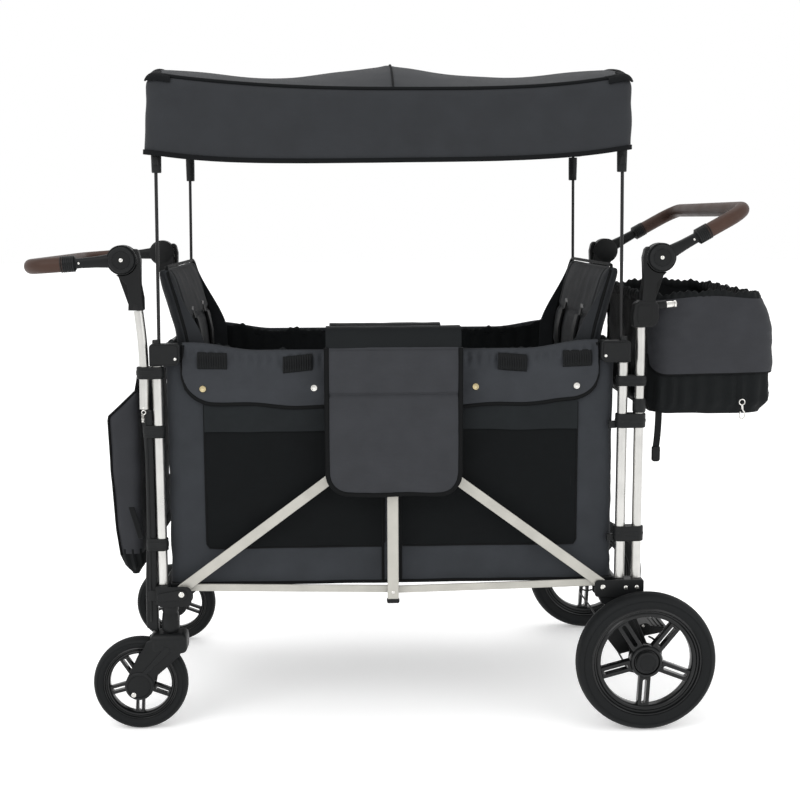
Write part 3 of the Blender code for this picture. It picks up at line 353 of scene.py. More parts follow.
    def grain(self) -> bpy.types.NodeTree:
        """Fine even grain of moulded plastic and rubber.

        Returns:
            The finished group.
        """
        tree, entry, leave = self._start("grain", {"Vector": None, "Pitch": 0.001}, ["Height"])
        texture = tree.nodes.new("ShaderNodeTexNoise")
        texture.inputs["Detail"].default_value = 2.0
        tree.links.new(entry.outputs["Vector"], texture.inputs["Vector"])
        tree.links.new(self.math(tree, "DIVIDE", 1.0, entry.outputs["Pitch"]), texture.inputs["Scale"])
        tree.links.new(texture.outputs["Fac"], leave.inputs["Height"])
        return tree

    def leather(self) -> bpy.types.NodeTree:
        """Pebbled leather: rounded cells with creases between.

        Returns:
            The finished group.
        """
        tree, entry, leave = self._start("leather_grain", {"Vector": None, "Pitch": 0.002}, ["Height"])
        cells = tree.nodes.new("ShaderNodeTexVoronoi")
        cells.feature = "SMOOTH_F1"
        tree.links.new(entry.outputs["Vector"], cells.inputs["Vector"])
        tree.links.new(self.math(tree, "DIVIDE", 1.0, entry.outputs["Pitch"]), cells.inputs["Scale"])
        tree.links.new(self.math(tree, "SUBTRACT", 1.0, cells.outputs["Distance"]), leave.inputs["Height"])
        return tree

    def ribs(self) -> bpy.types.NodeTree:
        """Close diagonal ribs of tape and piping.

        Returns:
            The finished group.
        """
        tree, entry, leave = self._start("tape_ribs", {"Vector": None, "Pitch": 0.003}, ["Height"])
        place = tree.nodes.new("ShaderNodeSeparateXYZ")
        tree.links.new(entry.outputs["Vector"], place.inputs[0])
        along = self.math(
            tree, "ADD", place.outputs[0], self.math(tree, "ADD", place.outputs[1], place.outputs[2])
        )
        turns = self.math(tree, "DIVIDE", 2 * math.pi, entry.outputs["Pitch"])
        tree.links.new(
            self.math(tree, "SINE", self.math(tree, "MULTIPLY", along, turns)), leave.inputs["Height"]
        )
        return tree

    def get(self, name: str) -> bpy.types.NodeTree:
        """The group of that name, built at its first use.

        Args:
            name: Name of the group.

        Returns:
            The finished group.
        """
        if name not in self.built:
            self.built[name] = getattr(self, name)()
        return self.built[name]


class Paint:
    """Builds each finish's material once."""

    RELIEF_GROUP = {
        Relief.WOVEN: "weave", Relief.NET: "net", Relief.MOULDED: "grain", Relief.BRUSHED: "grain",
        Relief.LEATHER: "leather", Relief.RIBBED: "ribs",
    }

    def __init__(self) -> None:
        """Start with no material made."""
        self.groups = Groups()
        self.made: dict[str, bpy.types.Material] = {}

    def _group(self, tree: bpy.types.NodeTree, name: str, **values: float) -> bpy.types.Node:
        """Place a shared group in a material with its own values.

        Args:
            tree: Node tree that is being built.
            name: Name of the group.
            values: Values for the group's inputs.

        Returns:
            The group's node.
        """
        node = tree.nodes.new("ShaderNodeGroup")
        node.node_tree = self.groups.get(name)
        for label, value in values.items():
            node.inputs[label].default_value = value
        return node

    def material(self, finish: Finish) -> bpy.types.Material:
        """Make or fetch a finish's material.

        Args:
            finish: The finish.

        Returns:
            Its material.
        """
        if finish.name in self.made:
            return self.made[finish.name]
        material = bpy.data.materials.new(finish.name)
        material.use_nodes = True
        tree = material.node_tree
        shader = tree.nodes["Principled BSDF"]
        shader.inputs["Roughness"].default_value = finish.roughness
        shader.inputs["Metallic"].default_value = finish.metallic
        shader.inputs["Specular IOR Level"].default_value = finish.specular
        shader.inputs["Coat Weight"].default_value = finish.coat
        shader.inputs["Coat Roughness"].default_value = 0.15
        shader.inputs["Sheen Weight"].default_value = finish.sheen
        shader.inputs["Sheen Roughness"].default_value = 0.45
        place = tree.nodes.new("ShaderNodeTexCoord")
        where = place.outputs["Object"]
        if finish.relief is Relief.BRUSHED:
            stretch = tree.nodes.new("ShaderNodeMapping")
            stretch.inputs["Scale"].default_value = (1.0, 1.0, 0.05)
            tree.links.new(where, stretch.inputs["Vector"])
            where = stretch.outputs["Vector"]
        tone = self._group(tree, "mottle", Patch=finish.patch, Amount=finish.mottle)
        tree.links.new(place.outputs["Object"], tone.inputs["Vector"])
        colour = self._shade(tree, finish, tone.outputs["Tone"])
        if finish.relief is not Relief.PLAIN:
            name = self.RELIEF_GROUP[finish.relief]
            relief = self._group(tree, name, Pitch=finish.pitch)
            tree.links.new(where, relief.inputs["Vector"])
            if "Facing" in relief.inputs:
                tree.links.new(place.outputs["Normal"], relief.inputs["Facing"])
            bump = tree.nodes.new("ShaderNodeBump")
            bump.inputs["Strength"].default_value = 0.35
            bump.inputs["Distance"].default_value = finish.depth
            tree.links.new(relief.outputs["Height"], bump.inputs["Height"])
            tree.links.new(bump.outputs["Normal"], shader.inputs["Normal"])
            # Painted shade between threads, painted light on their crests.
            if finish.relief in (Relief.WOVEN, Relief.NET, Relief.RIBBED):
                colour = self._paint_weave_shade(tree, colour, relief.outputs["Height"])
        if finish.wear:
            colour = self._rub(tree, finish, place.outputs["Object"], colour)
        tree.links.new(colour, shader.inputs["Base Color"])
        rough = self.groups.math(tree, "MULTIPLY", tone.outputs["Tone"], finish.roughness, True)
        tree.links.new(rough, shader.inputs["Roughness"])
        self.made[finish.name] = material
        return material

    @staticmethod
    def _scaled(
        tree: bpy.types.NodeTree, colour: bpy.types.NodeSocket | tuple, factor: bpy.types.NodeSocket
    ) -> bpy.types.NodeSocket:
        """Multiply a colour, a socket or a triple, by a value socket.

        Args:
            tree: Node tree that is being built.
            colour: A colour socket or a triple.
            factor: Socket to multiply by.

        Returns:
            Socket with the new colour.
        """
        node = tree.nodes.new("ShaderNodeVectorMath")
        node.operation = "SCALE"
        if isinstance(colour, tuple):
            node.inputs[0].default_value = colour
        else:
            tree.links.new(colour, node.inputs[0])
        tree.links.new(factor, node.inputs["Scale"])
        return node.outputs[0]

    def _shade(
        self, tree: bpy.types.NodeTree, finish: Finish, tone: bpy.types.NodeSocket
    ) -> bpy.types.NodeSocket:
        """The finish's colour with its uneven patches."""
        return self._scaled(tree, finish.colour, tone)

    def _paint_weave_shade(
        self, tree: bpy.types.NodeTree, colour: bpy.types.NodeSocket, height: bpy.types.NodeSocket
    ) -> bpy.types.NodeSocket:
        """Painted shade in the gaps between threads and painted light on their crests."""
        lit = self.groups.math(tree, "ADD", self.groups.math(tree, "MULTIPLY", height, 0.16), 1.0)
        return self._scaled(tree, colour, lit)

    def _rub(
        self, tree: bpy.types.NodeTree, finish: Finish, where: bpy.types.NodeSocket,
        colour: bpy.types.NodeSocket,
    ) -> bpy.types.NodeSocket:
        """Lighten the rubbed edges.

        Args:
            tree: Node tree that is being built.
            finish: The finish.
            where: Socket with the place on the surface.
            colour: Socket with the colour.

        Returns:
            Socket with the new colour.
        """
        mask = self._group(tree, "wear", Amount=finish.wear)
        tree.links.new(where, mask.inputs["Vector"])
        mix = tree.nodes.new("ShaderNodeMix")
        mix.data_type = "RGBA"
        tree.links.new(mask.outputs["Mask"], mix.inputs[0])
        tree.links.new(colour, mix.inputs[6])
        bare = [min(1.0, channel * 2.0 + 0.05) for channel in finish.colour]
        mix.inputs[7].default_value = (*bare, 1.0)
        return mix.outputs[2]


PAINT = Paint()


# ---------------------------------------------------------------- modelling steps
class Bench:
    """Operator steps shared by the sub-assemblies.

    Pieces are modelled about the middle of the frame, with their objects at the origin; dress() then
    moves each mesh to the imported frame's own place.
    """

    @staticmethod
    def clear() -> None:
        """Leave edit mode and deselect everything."""
        if bpy.context.object and bpy.context.object.mode != "OBJECT":
            bpy.ops.object.mode_set(mode="OBJECT")
        bpy.ops.object.select_all(action="DESELECT")

    @classmethod
    def pick(cls, *pieces: Solid) -> Solid:
        """Select only these pieces and make the first one active.

        Args:
            pieces: The pieces.

        Returns:
            The active piece.
        """
        cls.clear()
        for piece in pieces:
            piece.select_set(True)
        bpy.context.view_layer.objects.active = pieces[0]
        return pieces[0]

    @classmethod
    def edit(cls, piece: Solid) -> None:
        """Open a piece in edit mode with everything selected.

        Args:
            piece: The piece.
        """
        cls.pick(piece)
        bpy.ops.object.mode_set(mode="EDIT")
        bpy.ops.mesh.select_all(action="SELECT")

    @classmethod
    def tidy(cls, piece: Solid, merge: float = 0.00002) -> Solid:
        """Merge doubles, turn the faces outwards and shade the piece smooth by angle.

        Args:
            piece: The piece.
            merge: Distance under which vertices become one.

        Returns:
            The piece.
        """
        cls.edit(piece)
        bpy.ops.mesh.remove_doubles(threshold=merge)
        bpy.ops.mesh.normals_make_consistent(inside=False)
        bpy.ops.object.mode_set(mode="OBJECT")
        bpy.ops.object.shade_smooth_by_angle(angle=SMOOTH_ANGLE)
        return piece

    @staticmethod
    def named(name: str) -> Solid:
        """Name the active piece and its mesh.

        Args:
            name: Name of the piece.

        Returns:
            The active piece.
        """
        piece = bpy.context.object
        piece.name = name
        piece.data.name = name
        return piece

    @staticmethod
    def put(piece: Solid, points: Iterable[Point]) -> None:
        """Move a mesh's vertices to the given points.

        Args:
            piece: The piece.
            points: The vertices' new places.
        """
        flat = np.array([tuple(point) for point in points], np.float32).ravel()
        piece.data.vertices.foreach_set("co", flat)
        piece.data.update()

    @staticmethod
    def coords(piece: Solid) -> np.ndarray:
        """A mesh's vertices as an array of rows.

        Args:
            piece: The piece.

        Returns:
            One row for each vertex.
        """
        flat = np.zeros(len(piece.data.vertices) * 3, np.float32)
        piece.data.vertices.foreach_get("co", flat)
        return flat.reshape(-1, 3)

    @classmethod
    def modify(cls, piece: Solid, kind: str, **settings: object) -> Solid:
        """Add a modifier, set it and apply it.

        Args:
            piece: The piece.
            kind: Modifier type.
            settings: The modifier's settings.

        Returns:
            The piece.
        """
        cls.pick(piece)
        modifier = piece.modifiers.new(kind.lower(), kind)
        for label, value in settings.items():
            setattr(modifier, label, value)
        bpy.ops.object.modifier_apply(modifier=modifier.name)
        return piece

    @classmethod
    def bevel(cls, piece: Solid, width: float, segments: int = 2) -> Solid:
        """Round the sharp edges of a piece.

        Args:
            piece: The piece.
            width: Width of the bevel.
            segments: Steps across the rounded edges.

        Returns:
            The piece.
        """
        if width <= 0:
            return piece
        cls.modify(
            piece, "BEVEL", width=width, segments=segments, limit_method="ANGLE", angle_limit=math.radians(40)
        )
        return cls.tidy(piece, 0.00001)

    @classmethod
    def plate(
        cls, name: str, outline: Sequence[tuple[float, float]], plane: str, low: float, high: float,
        bevel: float = 0.0, segments: int = 2,
    ) -> Solid:
        """Extrude a closed outline.

        Args:
            name: Name of the piece.
            outline: Its corners as pairs, in the order of the plane's axes.
            plane: "XZ", "YZ" or "XY".
            low: Where the third axis starts.
            high: Where it ends.
            bevel: Width of the rounded edges.
            segments: Steps in each rounded edge.

        Returns:
            The piece.
        """
        lift = {
            "XZ": lambda a, b, c: (a, c, b), "YZ": lambda a, b, c: (c, a, b), "XY": lambda a, b, c: (a, b, c)
        }
        cls.clear()
        bpy.ops.mesh.primitive_circle_add(vertices=len(outline), fill_type="NGON")
        piece = cls.named(name)
        cls.put(piece, [lift[plane](a, b, low) for a, b in outline])
        cls.edit(piece)
        step = Vector(lift[plane](0, 0, high - low))
        bpy.ops.mesh.extrude_region_move(TRANSFORM_OT_translate={"value": step})
        cls.tidy(piece)
        return cls.bevel(piece, bevel, segments)

    @classmethod
    def block(cls, name: str, low: Point, high: Point, bevel: float = 0.0015, segments: int = 2) -> Solid:
        """A box between two corners, given in the wagon's own axes, with rounded edges.

        Args:
            name: Name of the piece.
            low: Lowest corner.
            high: Highest corner.
            bevel: Width of the rounded edges.
            segments: Steps across the rounded edges.

        Returns:
            The piece.
        """
        cls.clear()
        low, high = Vector(low), Vector(high)
        bpy.ops.mesh.primitive_cube_add(size=1, location=(low + high) / 2)
        piece = cls.named(name)
        piece.scale = high - low
        bpy.ops.object.transform_apply(location=True, rotation=True, scale=True)
        return cls.bevel(cls.tidy(piece), bevel, segments)

    @classmethod
    def turned(
        cls, name: str, profile: Sequence[tuple[float, float]], centre: Point, axis: Point = (0, 1, 0),
        steps: int = 48,
    ) -> Solid:
        """Spin a closed profile about an axis.

        Args:
            name: Name of the piece.
            profile: Pairs of radius and distance along the axis.
            centre: A point on the axis.
            axis: The axis.
            steps: Steps in the full turn.

        Returns:
            The piece.
        """
        cls.clear()
        along = Vector(axis).normalized()
        out = along.orthogonal().normalized()
        base = Vector(centre)
        bpy.ops.mesh.primitive_circle_add(vertices=len(profile), fill_type="NOTHING")
        piece = cls.named(name)
        cls.put(piece, [base + out * radius + along * height for radius, height in profile])
        cls.edit(piece)
        bpy.ops.mesh.spin(steps=steps, angle=2 * math.pi, center=base, axis=along)
        return cls.tidy(piece, 0.00004)

    @classmethod
    def rod(
        cls, name: str, start: Point, end: Point, radius: float, steps: int = 24, edge: float = 0.0006
    ) -> Solid:
        """A round bar between two points with softened ends.

        Args:
            name: Name of the piece.
            start: First point.
            end: Last point.
            radius: Radius.
            steps: Number of sides.
            edge: Size of the softened edge.

        Returns:
            The piece.
        """
        start, end = Vector(start), Vector(end)
        length = (end - start).length
        edge = min(edge, radius / 3, length / 3)
        profile = [
            (0, 0), (radius - edge, 0), (radius, edge), (radius, length - edge), (radius - edge, length),
            (0, length)
        ]
        return cls.turned(name, profile, start, end - start, steps)

    @staticmethod
    def smooth_path(points: Sequence[Point], per_span: int = 8, closed: bool = False) -> list[Vector]:
        """A smooth curve through points.

        Args:
            points: The route's own points.
            per_span: Steps between two of them.
            closed: Whether the curve returns to its start.

        Returns:
            The curve's points.
        """
        knots = [Vector(point) for point in points]
        count = len(knots)
        spans = count if closed else count - 1
        curve: list[Vector] = []
        for span in range(spans):
            picks = [span - 1, span, span + 1, span + 2]
            if closed:
                a, b, c, d = (knots[pick % count] for pick in picks)
            else:
                a, b, c, d = (knots[min(max(pick, 0), count - 1)] for pick in picks)
            for step in range(per_span):
                t = step / per_span
                curve.append(
                    b + 0.5 * t * ((c - a) + t * ((2 * a - 5 * b + 4 * c - d) + t * (3 * (b - c) + d - a)))
                )
        if not closed:
            curve.append(knots[-1])
        return curve

    @classmethod
    def tube(
        cls, name: str, path: Sequence[Point], radius: float, sides: int = 12, closed: bool = False,
        radii: Sequence[float] | None = None,
    ) -> Solid:
        """A round tube along a path, made from a bevelled curve.

        Args:
            name: Name of the piece.
            path: Its centreline.
            radius: Its radius.
            sides: Sides of its section.
            closed: Whether it is a ring.
            radii: Radius factor at each point.

        Returns:
            The piece as a mesh.
        """
        cls.clear()
        bpy.ops.curve.primitive_nurbs_path_add()
        piece = cls.named(name)
        data = piece.data
        data.splines.clear()
        spline = data.splines.new("POLY")
        spline.points.add(len(path) - 1)
        for index, (knot, point) in enumerate(zip(spline.points, path)):
            knot.co = (*point, 1.0)
            knot.radius = radii[index] if radii is not None else 1.0
        spline.use_cyclic_u = closed
        data.dimensions = "3D"
        data.bevel_depth = radius
        data.bevel_resolution = max(0, sides // 2 - 2)
        data.use_fill_caps = not closed
        cls.pick(piece)
        bpy.ops.object.convert(target="MESH")
        return cls.tidy(cls.named(name))

    @classmethod
    def skin(
        cls, name: str, shape: Callable[[float, float], Point], across: int, along: int, wall: float = 0.0,
        wrap: bool = False, cap: bool = False,
    ) -> Solid:
        """A subdivided sheet shaped by a function, with an optional wall.

        Args:
            name: Name of the piece.
            shape: Gives the point at two shares from 0 to 1.
            across: Divisions of the first share.
            along: Divisions of the second share.
            wall: Thickness given to the sheet.
            wrap: Whether the sheet closes on itself, so that its seam is merged.
            cap: Whether its open ends are filled.

        Returns:
            The piece.
        """
        cls.clear()
        bpy.ops.mesh.primitive_grid_add(x_subdivisions=across, y_subdivisions=along, size=1)
        piece = cls.named(name)
        cls.put(piece, [shape(float(u) + 0.5, float(v) + 0.5) for u, v, _ in cls.coords(piece)])
        if wrap or cap:
            cls.edit(piece)
            bpy.ops.mesh.remove_doubles(threshold=0.00003)
            if cap:
                bpy.ops.mesh.select_all(action="DESELECT")
                bpy.ops.mesh.select_non_manifold()
                bpy.ops.mesh.fill_holes(sides=0)
            bpy.ops.object.mode_set(mode="OBJECT")
        cls.tidy(piece)
        if wall:
            cls.modify(piece, "SOLIDIFY", thickness=wall, offset=0.0, use_even_offset=True)
            cls.tidy(piece, 0.000001)
        return piece

    @classmethod
    def join(cls, name: str, pieces: Sequence[Solid]) -> Solid:
        """Join several pieces into one.

        Args:
            name: Name of the piece.
            pieces: The pieces.

        Returns:
            The piece.
        """
        cls.pick(*pieces)
        if len(pieces) > 1:
            bpy.ops.object.join()
        return cls.named(name)

    @classmethod
    def copy(cls, piece: Solid, name: str, mirror: bool = False) -> Solid:
        """Copy a piece with its own mesh, on the other side of the wagon if wanted.

        Args:
            piece: The piece.
            name: Name of the piece.
            mirror: True to put the copy on the wagon's other side.

        Returns:
            The piece.
        """
        cls.pick(piece)
        bpy.ops.object.duplicate()
        twin = cls.named(name)
        if mirror:
            points = cls.coords(twin)
            points[:, 1] *= -1
            cls.put(twin, points)
            cls.edit(twin)
            bpy.ops.mesh.flip_normals()
            bpy.ops.object.mode_set(mode="OBJECT")
        return twin

    @classmethod
    def subdivide(cls, piece: Solid, levels: int = 1) -> Solid:
        """Round a piece by subdivision."""
        return cls.modify(piece, "SUBSURF", levels=levels, render_levels=levels)

    @classmethod
    def crumple(cls, piece: Solid, amount: float, size: float, seed: float, axis: Point = (1, 1, 1)) -> Solid:
        """Move the vertices of cloth by smooth noise.

        Args:
            piece: The piece.
            amount: Greatest movement.
            size: Size of the folds.
            seed: Where in the noise to read.
            axis: How much of the movement each axis takes.

        Returns:
            The piece.
        """
        shift = Vector((seed, seed * 1.7, -seed))
        points = []
        for row in cls.coords(piece):
            here = Vector(row)
            move = noise.noise_vector(here / size + shift)
            points.append(here + Vector(tuple(move[i] * axis[i] for i in range(3))) * amount)
        cls.put(piece, points)
        return piece

    @classmethod
    def dress(cls, piece: Solid, finish: Finish, body: str, *nodes: str, slot: str | None = None) -> Solid:
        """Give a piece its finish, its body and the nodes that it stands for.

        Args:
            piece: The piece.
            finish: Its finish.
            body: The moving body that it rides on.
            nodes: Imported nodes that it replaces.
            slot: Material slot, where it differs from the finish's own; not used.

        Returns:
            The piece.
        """
        piece.data.materials.clear()
        piece.data.materials.append(PAINT.material(finish))
        points = cls.coords(piece)
        points[:, 0] += D.mid
        cls.put(piece, points)
        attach(piece, body)
        if nodes:
            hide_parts(*nodes)
        slot or finish.slot
        log.info("%s: %d faces on %s", piece.name, len(piece.data.polygons), body)
        return piece


def capsule(
    start: Point, end: Point, first: float, last: float, steps: int = 12
) -> list[tuple[float, float]]:
    """Outline of a link with round ends.

    Args:
        start: Centre of the first end.
        end: Centre of the last end.
        first: Radius of the first end.
        last: Radius of the last end.
        steps: Steps in each round end.

    Returns:
        The outline's points.
    """
    heading = math.atan2(end[1] - start[1], end[0] - start[0])
    points = []
    for centre, radius, turn in ((end, last, -90), (start, first, 90)):
        for step in range(steps + 1):
            angle = heading + math.radians(turn + 180 * step / steps)
            points.append((centre[0] + radius * math.cos(angle), centre[1] + radius * math.sin(angle)))
    return points


def rounded(
    low: Point, high: Point, radius: float | Sequence[float], steps: int = 6
) -> list[tuple[float, float]]:
    """Rectangle outline with round corners, from the lower left corner anticlockwise.

    Args:
        low: Lower left corner.
        high: Upper right corner.
        radius: One radius, or four from the lower left corner on.
        steps: Steps in each corner.

    Returns:
        The outline's points.
    """
    sizes = [radius] * 4 if isinstance(radius, (int, float)) else list(radius)
    corners = (
        (low[0], low[1], 1, 1), (high[0], low[1], -1, 1), (high[0], high[1], -1, -1), (low[0], high[1], 1, -1)
    )
    points = []
    for number, ((x, z, right, up), size) in enumerate(zip(corners, sizes)):
        for step in range(steps + 1):
            angle = math.radians(180 + 90 * number + 90 * step / steps)
            points.append((x + right * size + size * math.cos(angle), z + up * size + size * math.sin(angle)))
    return points


def dome_screw(name: str, centre: Point, side: int, radius: float = 0.0045, height: float = 0.0025) -> Solid:
    """A domed screw head with a cross slot on a face that looks along Y.

    Args:
        name: Name of the piece.
        centre: Middle of the head, on the face.
        side: 1 or -1 along Y.
        radius: Radius.
        height: Height of the dome.

    Returns:
        The piece.
    """
    steps = 5
    arc = [math.radians(90 * step / steps) for step in range(steps + 1)]
    profile = [(0.0, -0.001), (radius, -0.001)]
    profile += [(radius * math.cos(angle), height * math.sin(angle)) for angle in arc]
    head = Bench.turned(name, profile, centre, (0, side, 0), 20)
    reach, width, depth = radius * 0.55, radius * 0.12, height * 0.5
    y0, y1 = sorted((centre[1] + side * depth, centre[1] + side * (height + 0.001)))
    for half_x, half_z in ((reach, width), (width, reach)):
        low = (centre[0] - half_x, y0, centre[2] - half_z)
        high = (centre[0] + half_x, y1, centre[2] + half_z)
        cutter = Bench.block("slot_cutter", low, high, 0.0)
        Bench.modify(head, "BOOLEAN", object=cutter, operation="DIFFERENCE", solver="EXACT")
        bpy.data.objects.remove(cutter, do_unlink=True)
    return Bench.tidy(head)


# ---------------------------------------------------------------- light, floor and camera
@dataclass(frozen=True)
class Studio:
    """Pale floor, soft light and the camera."""

    eye: tuple[float, float, float] = (-0.0953, -3.0554, 1.1034)
    yaw: float = 0.0414
    pitch: float = 0.1385
    roll: float = 0.0037
    lens: float = 58.55

    def build(self) -> None:
        """Make the floor, world, lights and camera."""
        Bench.clear()
        bpy.ops.mesh.primitive_plane_add(size=60, location=(0, 0, 0))
        floor = Bench.named("studio_floor")
        paper = bpy.data.materials.new("studio_paper")
        paper.use_nodes = True
        paper.node_tree.nodes["Principled BSDF"].inputs["Base Color"].default_value = (0.98, 0.98, 0.98, 1)
        paper.node_tree.nodes["Principled BSDF"].inputs["Emission Color"].default_value = (1, 1, 1, 1)
        paper.node_tree.nodes["Principled BSDF"].inputs["Emission Strength"].default_value = 0.28
        paper.node_tree.nodes["Principled BSDF"].inputs["Roughness"].default_value = 0.9
        floor.data.materials.append(paper)
        world = bpy.data.worlds.new("studio_world")
        world.use_nodes = True
        world.node_tree.nodes["Background"].inputs["Color"].default_value = (1, 1, 1, 1)
        world.node_tree.nodes["Background"].inputs["Strength"].default_value = 1.0
        bpy.context.scene.world = world
        bpy.context.scene.view_settings.view_transform = "Standard"
        self._lamp("key_light", (-2.6, -3.2, 3.4), (0.0, 0.0, 0.7), 2.6, 62)
        self._lamp("fill_light", (3.2, -2.8, 2.2), (0.0, 0.0, 0.6), 2.6, 28)
        self._lamp("top_light", (0.2, 0.6, 4.2), (0.0, 0.0, 0.6), 3.0, 40)
        bpy.ops.object.camera_add(location=D.at(*self.eye))
        camera = bpy.context.object
        camera.name = "studio_camera"
        camera.rotation_euler = (math.pi / 2 - self.pitch, self.roll, -self.yaw)
        camera.data.lens = self.lens
        camera.data.sensor_width = 36
        bpy.context.scene.camera = camera

    @staticmethod
    def _lamp(name: str, place: Point, target: Point, size: float, power: float) -> None:
        """Add a square soft lamp that looks at a point.

        Args:
            name: Name of the piece.
            place: Where it stands.
            target: Where it looks.
            size: Side of the square.
            power: Power in watts.
        """
        Bench.clear()
        bpy.ops.object.light_add(type="AREA", location=place)
        lamp = bpy.context.object
        lamp.name = name
        lamp.rotation_euler = (Vector(target) - Vector(place)).to_track_quat("-Z", "Y").to_euler()
        lamp.data.size = size
        lamp.data.energy = power


# ---------------------------------------------------------------- running gear
@dataclass
class Wheel:
    """A wheel: rubber tyre, glossy rim with five twin-bar spokes, hub, cap and screw."""

    end: str
    side: str
    hub: float
    cap: float
    bar: float
    slot: float
    spokes: int = 5
    lean: float = -93.0

    def build(self) -> None:
        """Make the wheel around its packed tyre."""
        low, high = D.box(f"{self.end}_tyre_{self.side}")
        self.centre, self.radius = (low + high) / 2, (high.z - low.z) / 2
        self.half, self.out = (high.y - low.y) / 2, SIDES[self.side]
        body = f"{self.end}_wheel_{self.side}"
        tag = f"{self.end}_{self.side}"
        tyre, rim = f"{self.end}_tyre_{self.side}", f"{self.end}_rim_{self.side}"
        Bench.dress(self._tyre(f"rubber_{tag}"), Finishes.RUBBER, body, tyre)
        Bench.dress(self._rim(f"spoked_rim_{tag}"), Finishes.RIM, body, rim)
        Bench.dress(self._cap(f"hub_cap_{tag}"), Finishes.PLASTIC, body, slot="rim")

    def _ring(self, name: str, profile: Iterable[tuple[float, float]], steps: int = 96) -> Solid:
        """Turn a profile of radius and height shares about the axle."""
        points = [(share * self.radius, height * self.half) for share, height in profile]
        return Bench.turned(name, points, self.centre, (0, self.out, 0), steps)

    def _tyre(self, name: str) -> Solid:
        """Round-shouldered tyre with a fine groove in each shoulder and along the tread.

        Args:
            name: Name of the piece.

        Returns:
            The piece.
        """
        side = [(0.785, 0.70), (0.815, 0.86), (0.850, 0.94), (0.893, 0.985), (0.901, 0.950), (0.909, 0.985)]
        tread = [
            (0.935, 0.94), (0.962, 0.80), (0.984, 0.58), (0.996, 0.30), (1.0, 0.09), (0.992, 0.05),
            (0.992, -0.05)
        ]
        half = side + tread
        mirrored = [(share, -height) for share, height in reversed(half[:-1])]
        return self._ring(name, half + mirrored)

    def _rim(self, name: str) -> Solid:
        """Stepped rim ring, hub barrel and twin-bar spokes.

        Args:
            name: Name of the piece.

        Returns:
            The piece.
        """
        face = [
            (0.800, 0.68), (0.772, 0.78), (0.757, 0.74), (0.742, 0.56), (0.722, 0.52), (0.700, 0.62),
            (0.672, 0.60)
        ]
        face += [(0.655, 0.50), (0.649, 0.30)]
        ring = self._ring("rim_ring", face + [(share, -height) for share, height in reversed(face)])
        inner = self.hub / self.radius
        barrel_face = [
            (0.0, 0.56), (inner * 0.72, 0.56), (inner * 0.80, 0.66), (inner * 0.93, 0.62), (inner, 0.46)
        ]
        barrel = self._ring(
            "barrel", barrel_face + [(share, -height) for share, height in reversed(barrel_face)], 64
        )
        spokes = [self._spoke(index) for index in range(self.spokes)]
        return Bench.join(name, [ring, barrel, *spokes])

    def _spoke(self, index: int) -> Solid:
        """One pair of bars with a round-ended slot between them, turned to its place.

        Args:
            index: Number of the spoke.

        Returns:
            The piece.
        """
        start, end = self.hub - 0.004, self.radius * 0.665
        half = self.slot / 2 + self.bar
        outline = rounded((start, -half), (end, half), 0.001, 2)
        spoke = Bench.plate(f"spoke_{index}", outline, "XZ", -0.34 * self.half, 0.42 * self.half)
        cut_start, cut_end = self.hub + 0.009, self.radius * 0.649 - self.slot * 0.9
        hole = capsule((cut_start, 0), (cut_end, 0), self.slot / 2, self.slot / 2)
        cutter = Bench.plate("slot", hole, "XZ", -self.half, self.half)
        Bench.modify(spoke, "BOOLEAN", object=cutter, operation="DIFFERENCE", solver="EXACT")
        bpy.data.objects.remove(cutter, do_unlink=True)
        Bench.bevel(Bench.tidy(spoke), 0.0014, 2)
        turn = math.radians(self.lean + 360 * index / self.spokes)
        points = []
        for x, y, z in Bench.coords(spoke):
            across = x * math.cos(turn) - z * math.sin(turn)
            up = x * math.sin(turn) + z * math.cos(turn)
            points.append(self.centre + Vector((across, y * self.out, up)))
        Bench.put(spoke, points)
        return Bench.tidy(spoke)

    def _cap(self, name: str) -> Solid:
        """Domed cap in the middle of the hub with a raised ring and a small screw.

        Args:
            name: Name of the piece.

        Returns:
            The piece.
        """
        share = self.cap / self.radius
        profile = [(0.0, 0.50), (share, 0.50), (share, 0.84), (share * 0.90, 0.92), (share * 0.78, 0.93)]
        profile += [(share * 0.72, 0.89), (share * 0.55, 0.93), (share * 0.30, 0.97), (0.0, 0.985)]
        cap = self._ring(name, profile, 48)
        offset = self.cap * 0.55
        face = self.centre + Vector((offset, self.out * self.half * 0.90, -offset))
        return Bench.join(name, [cap, dome_screw("cap_screw", face, self.out, 0.0026, 0.0016)])


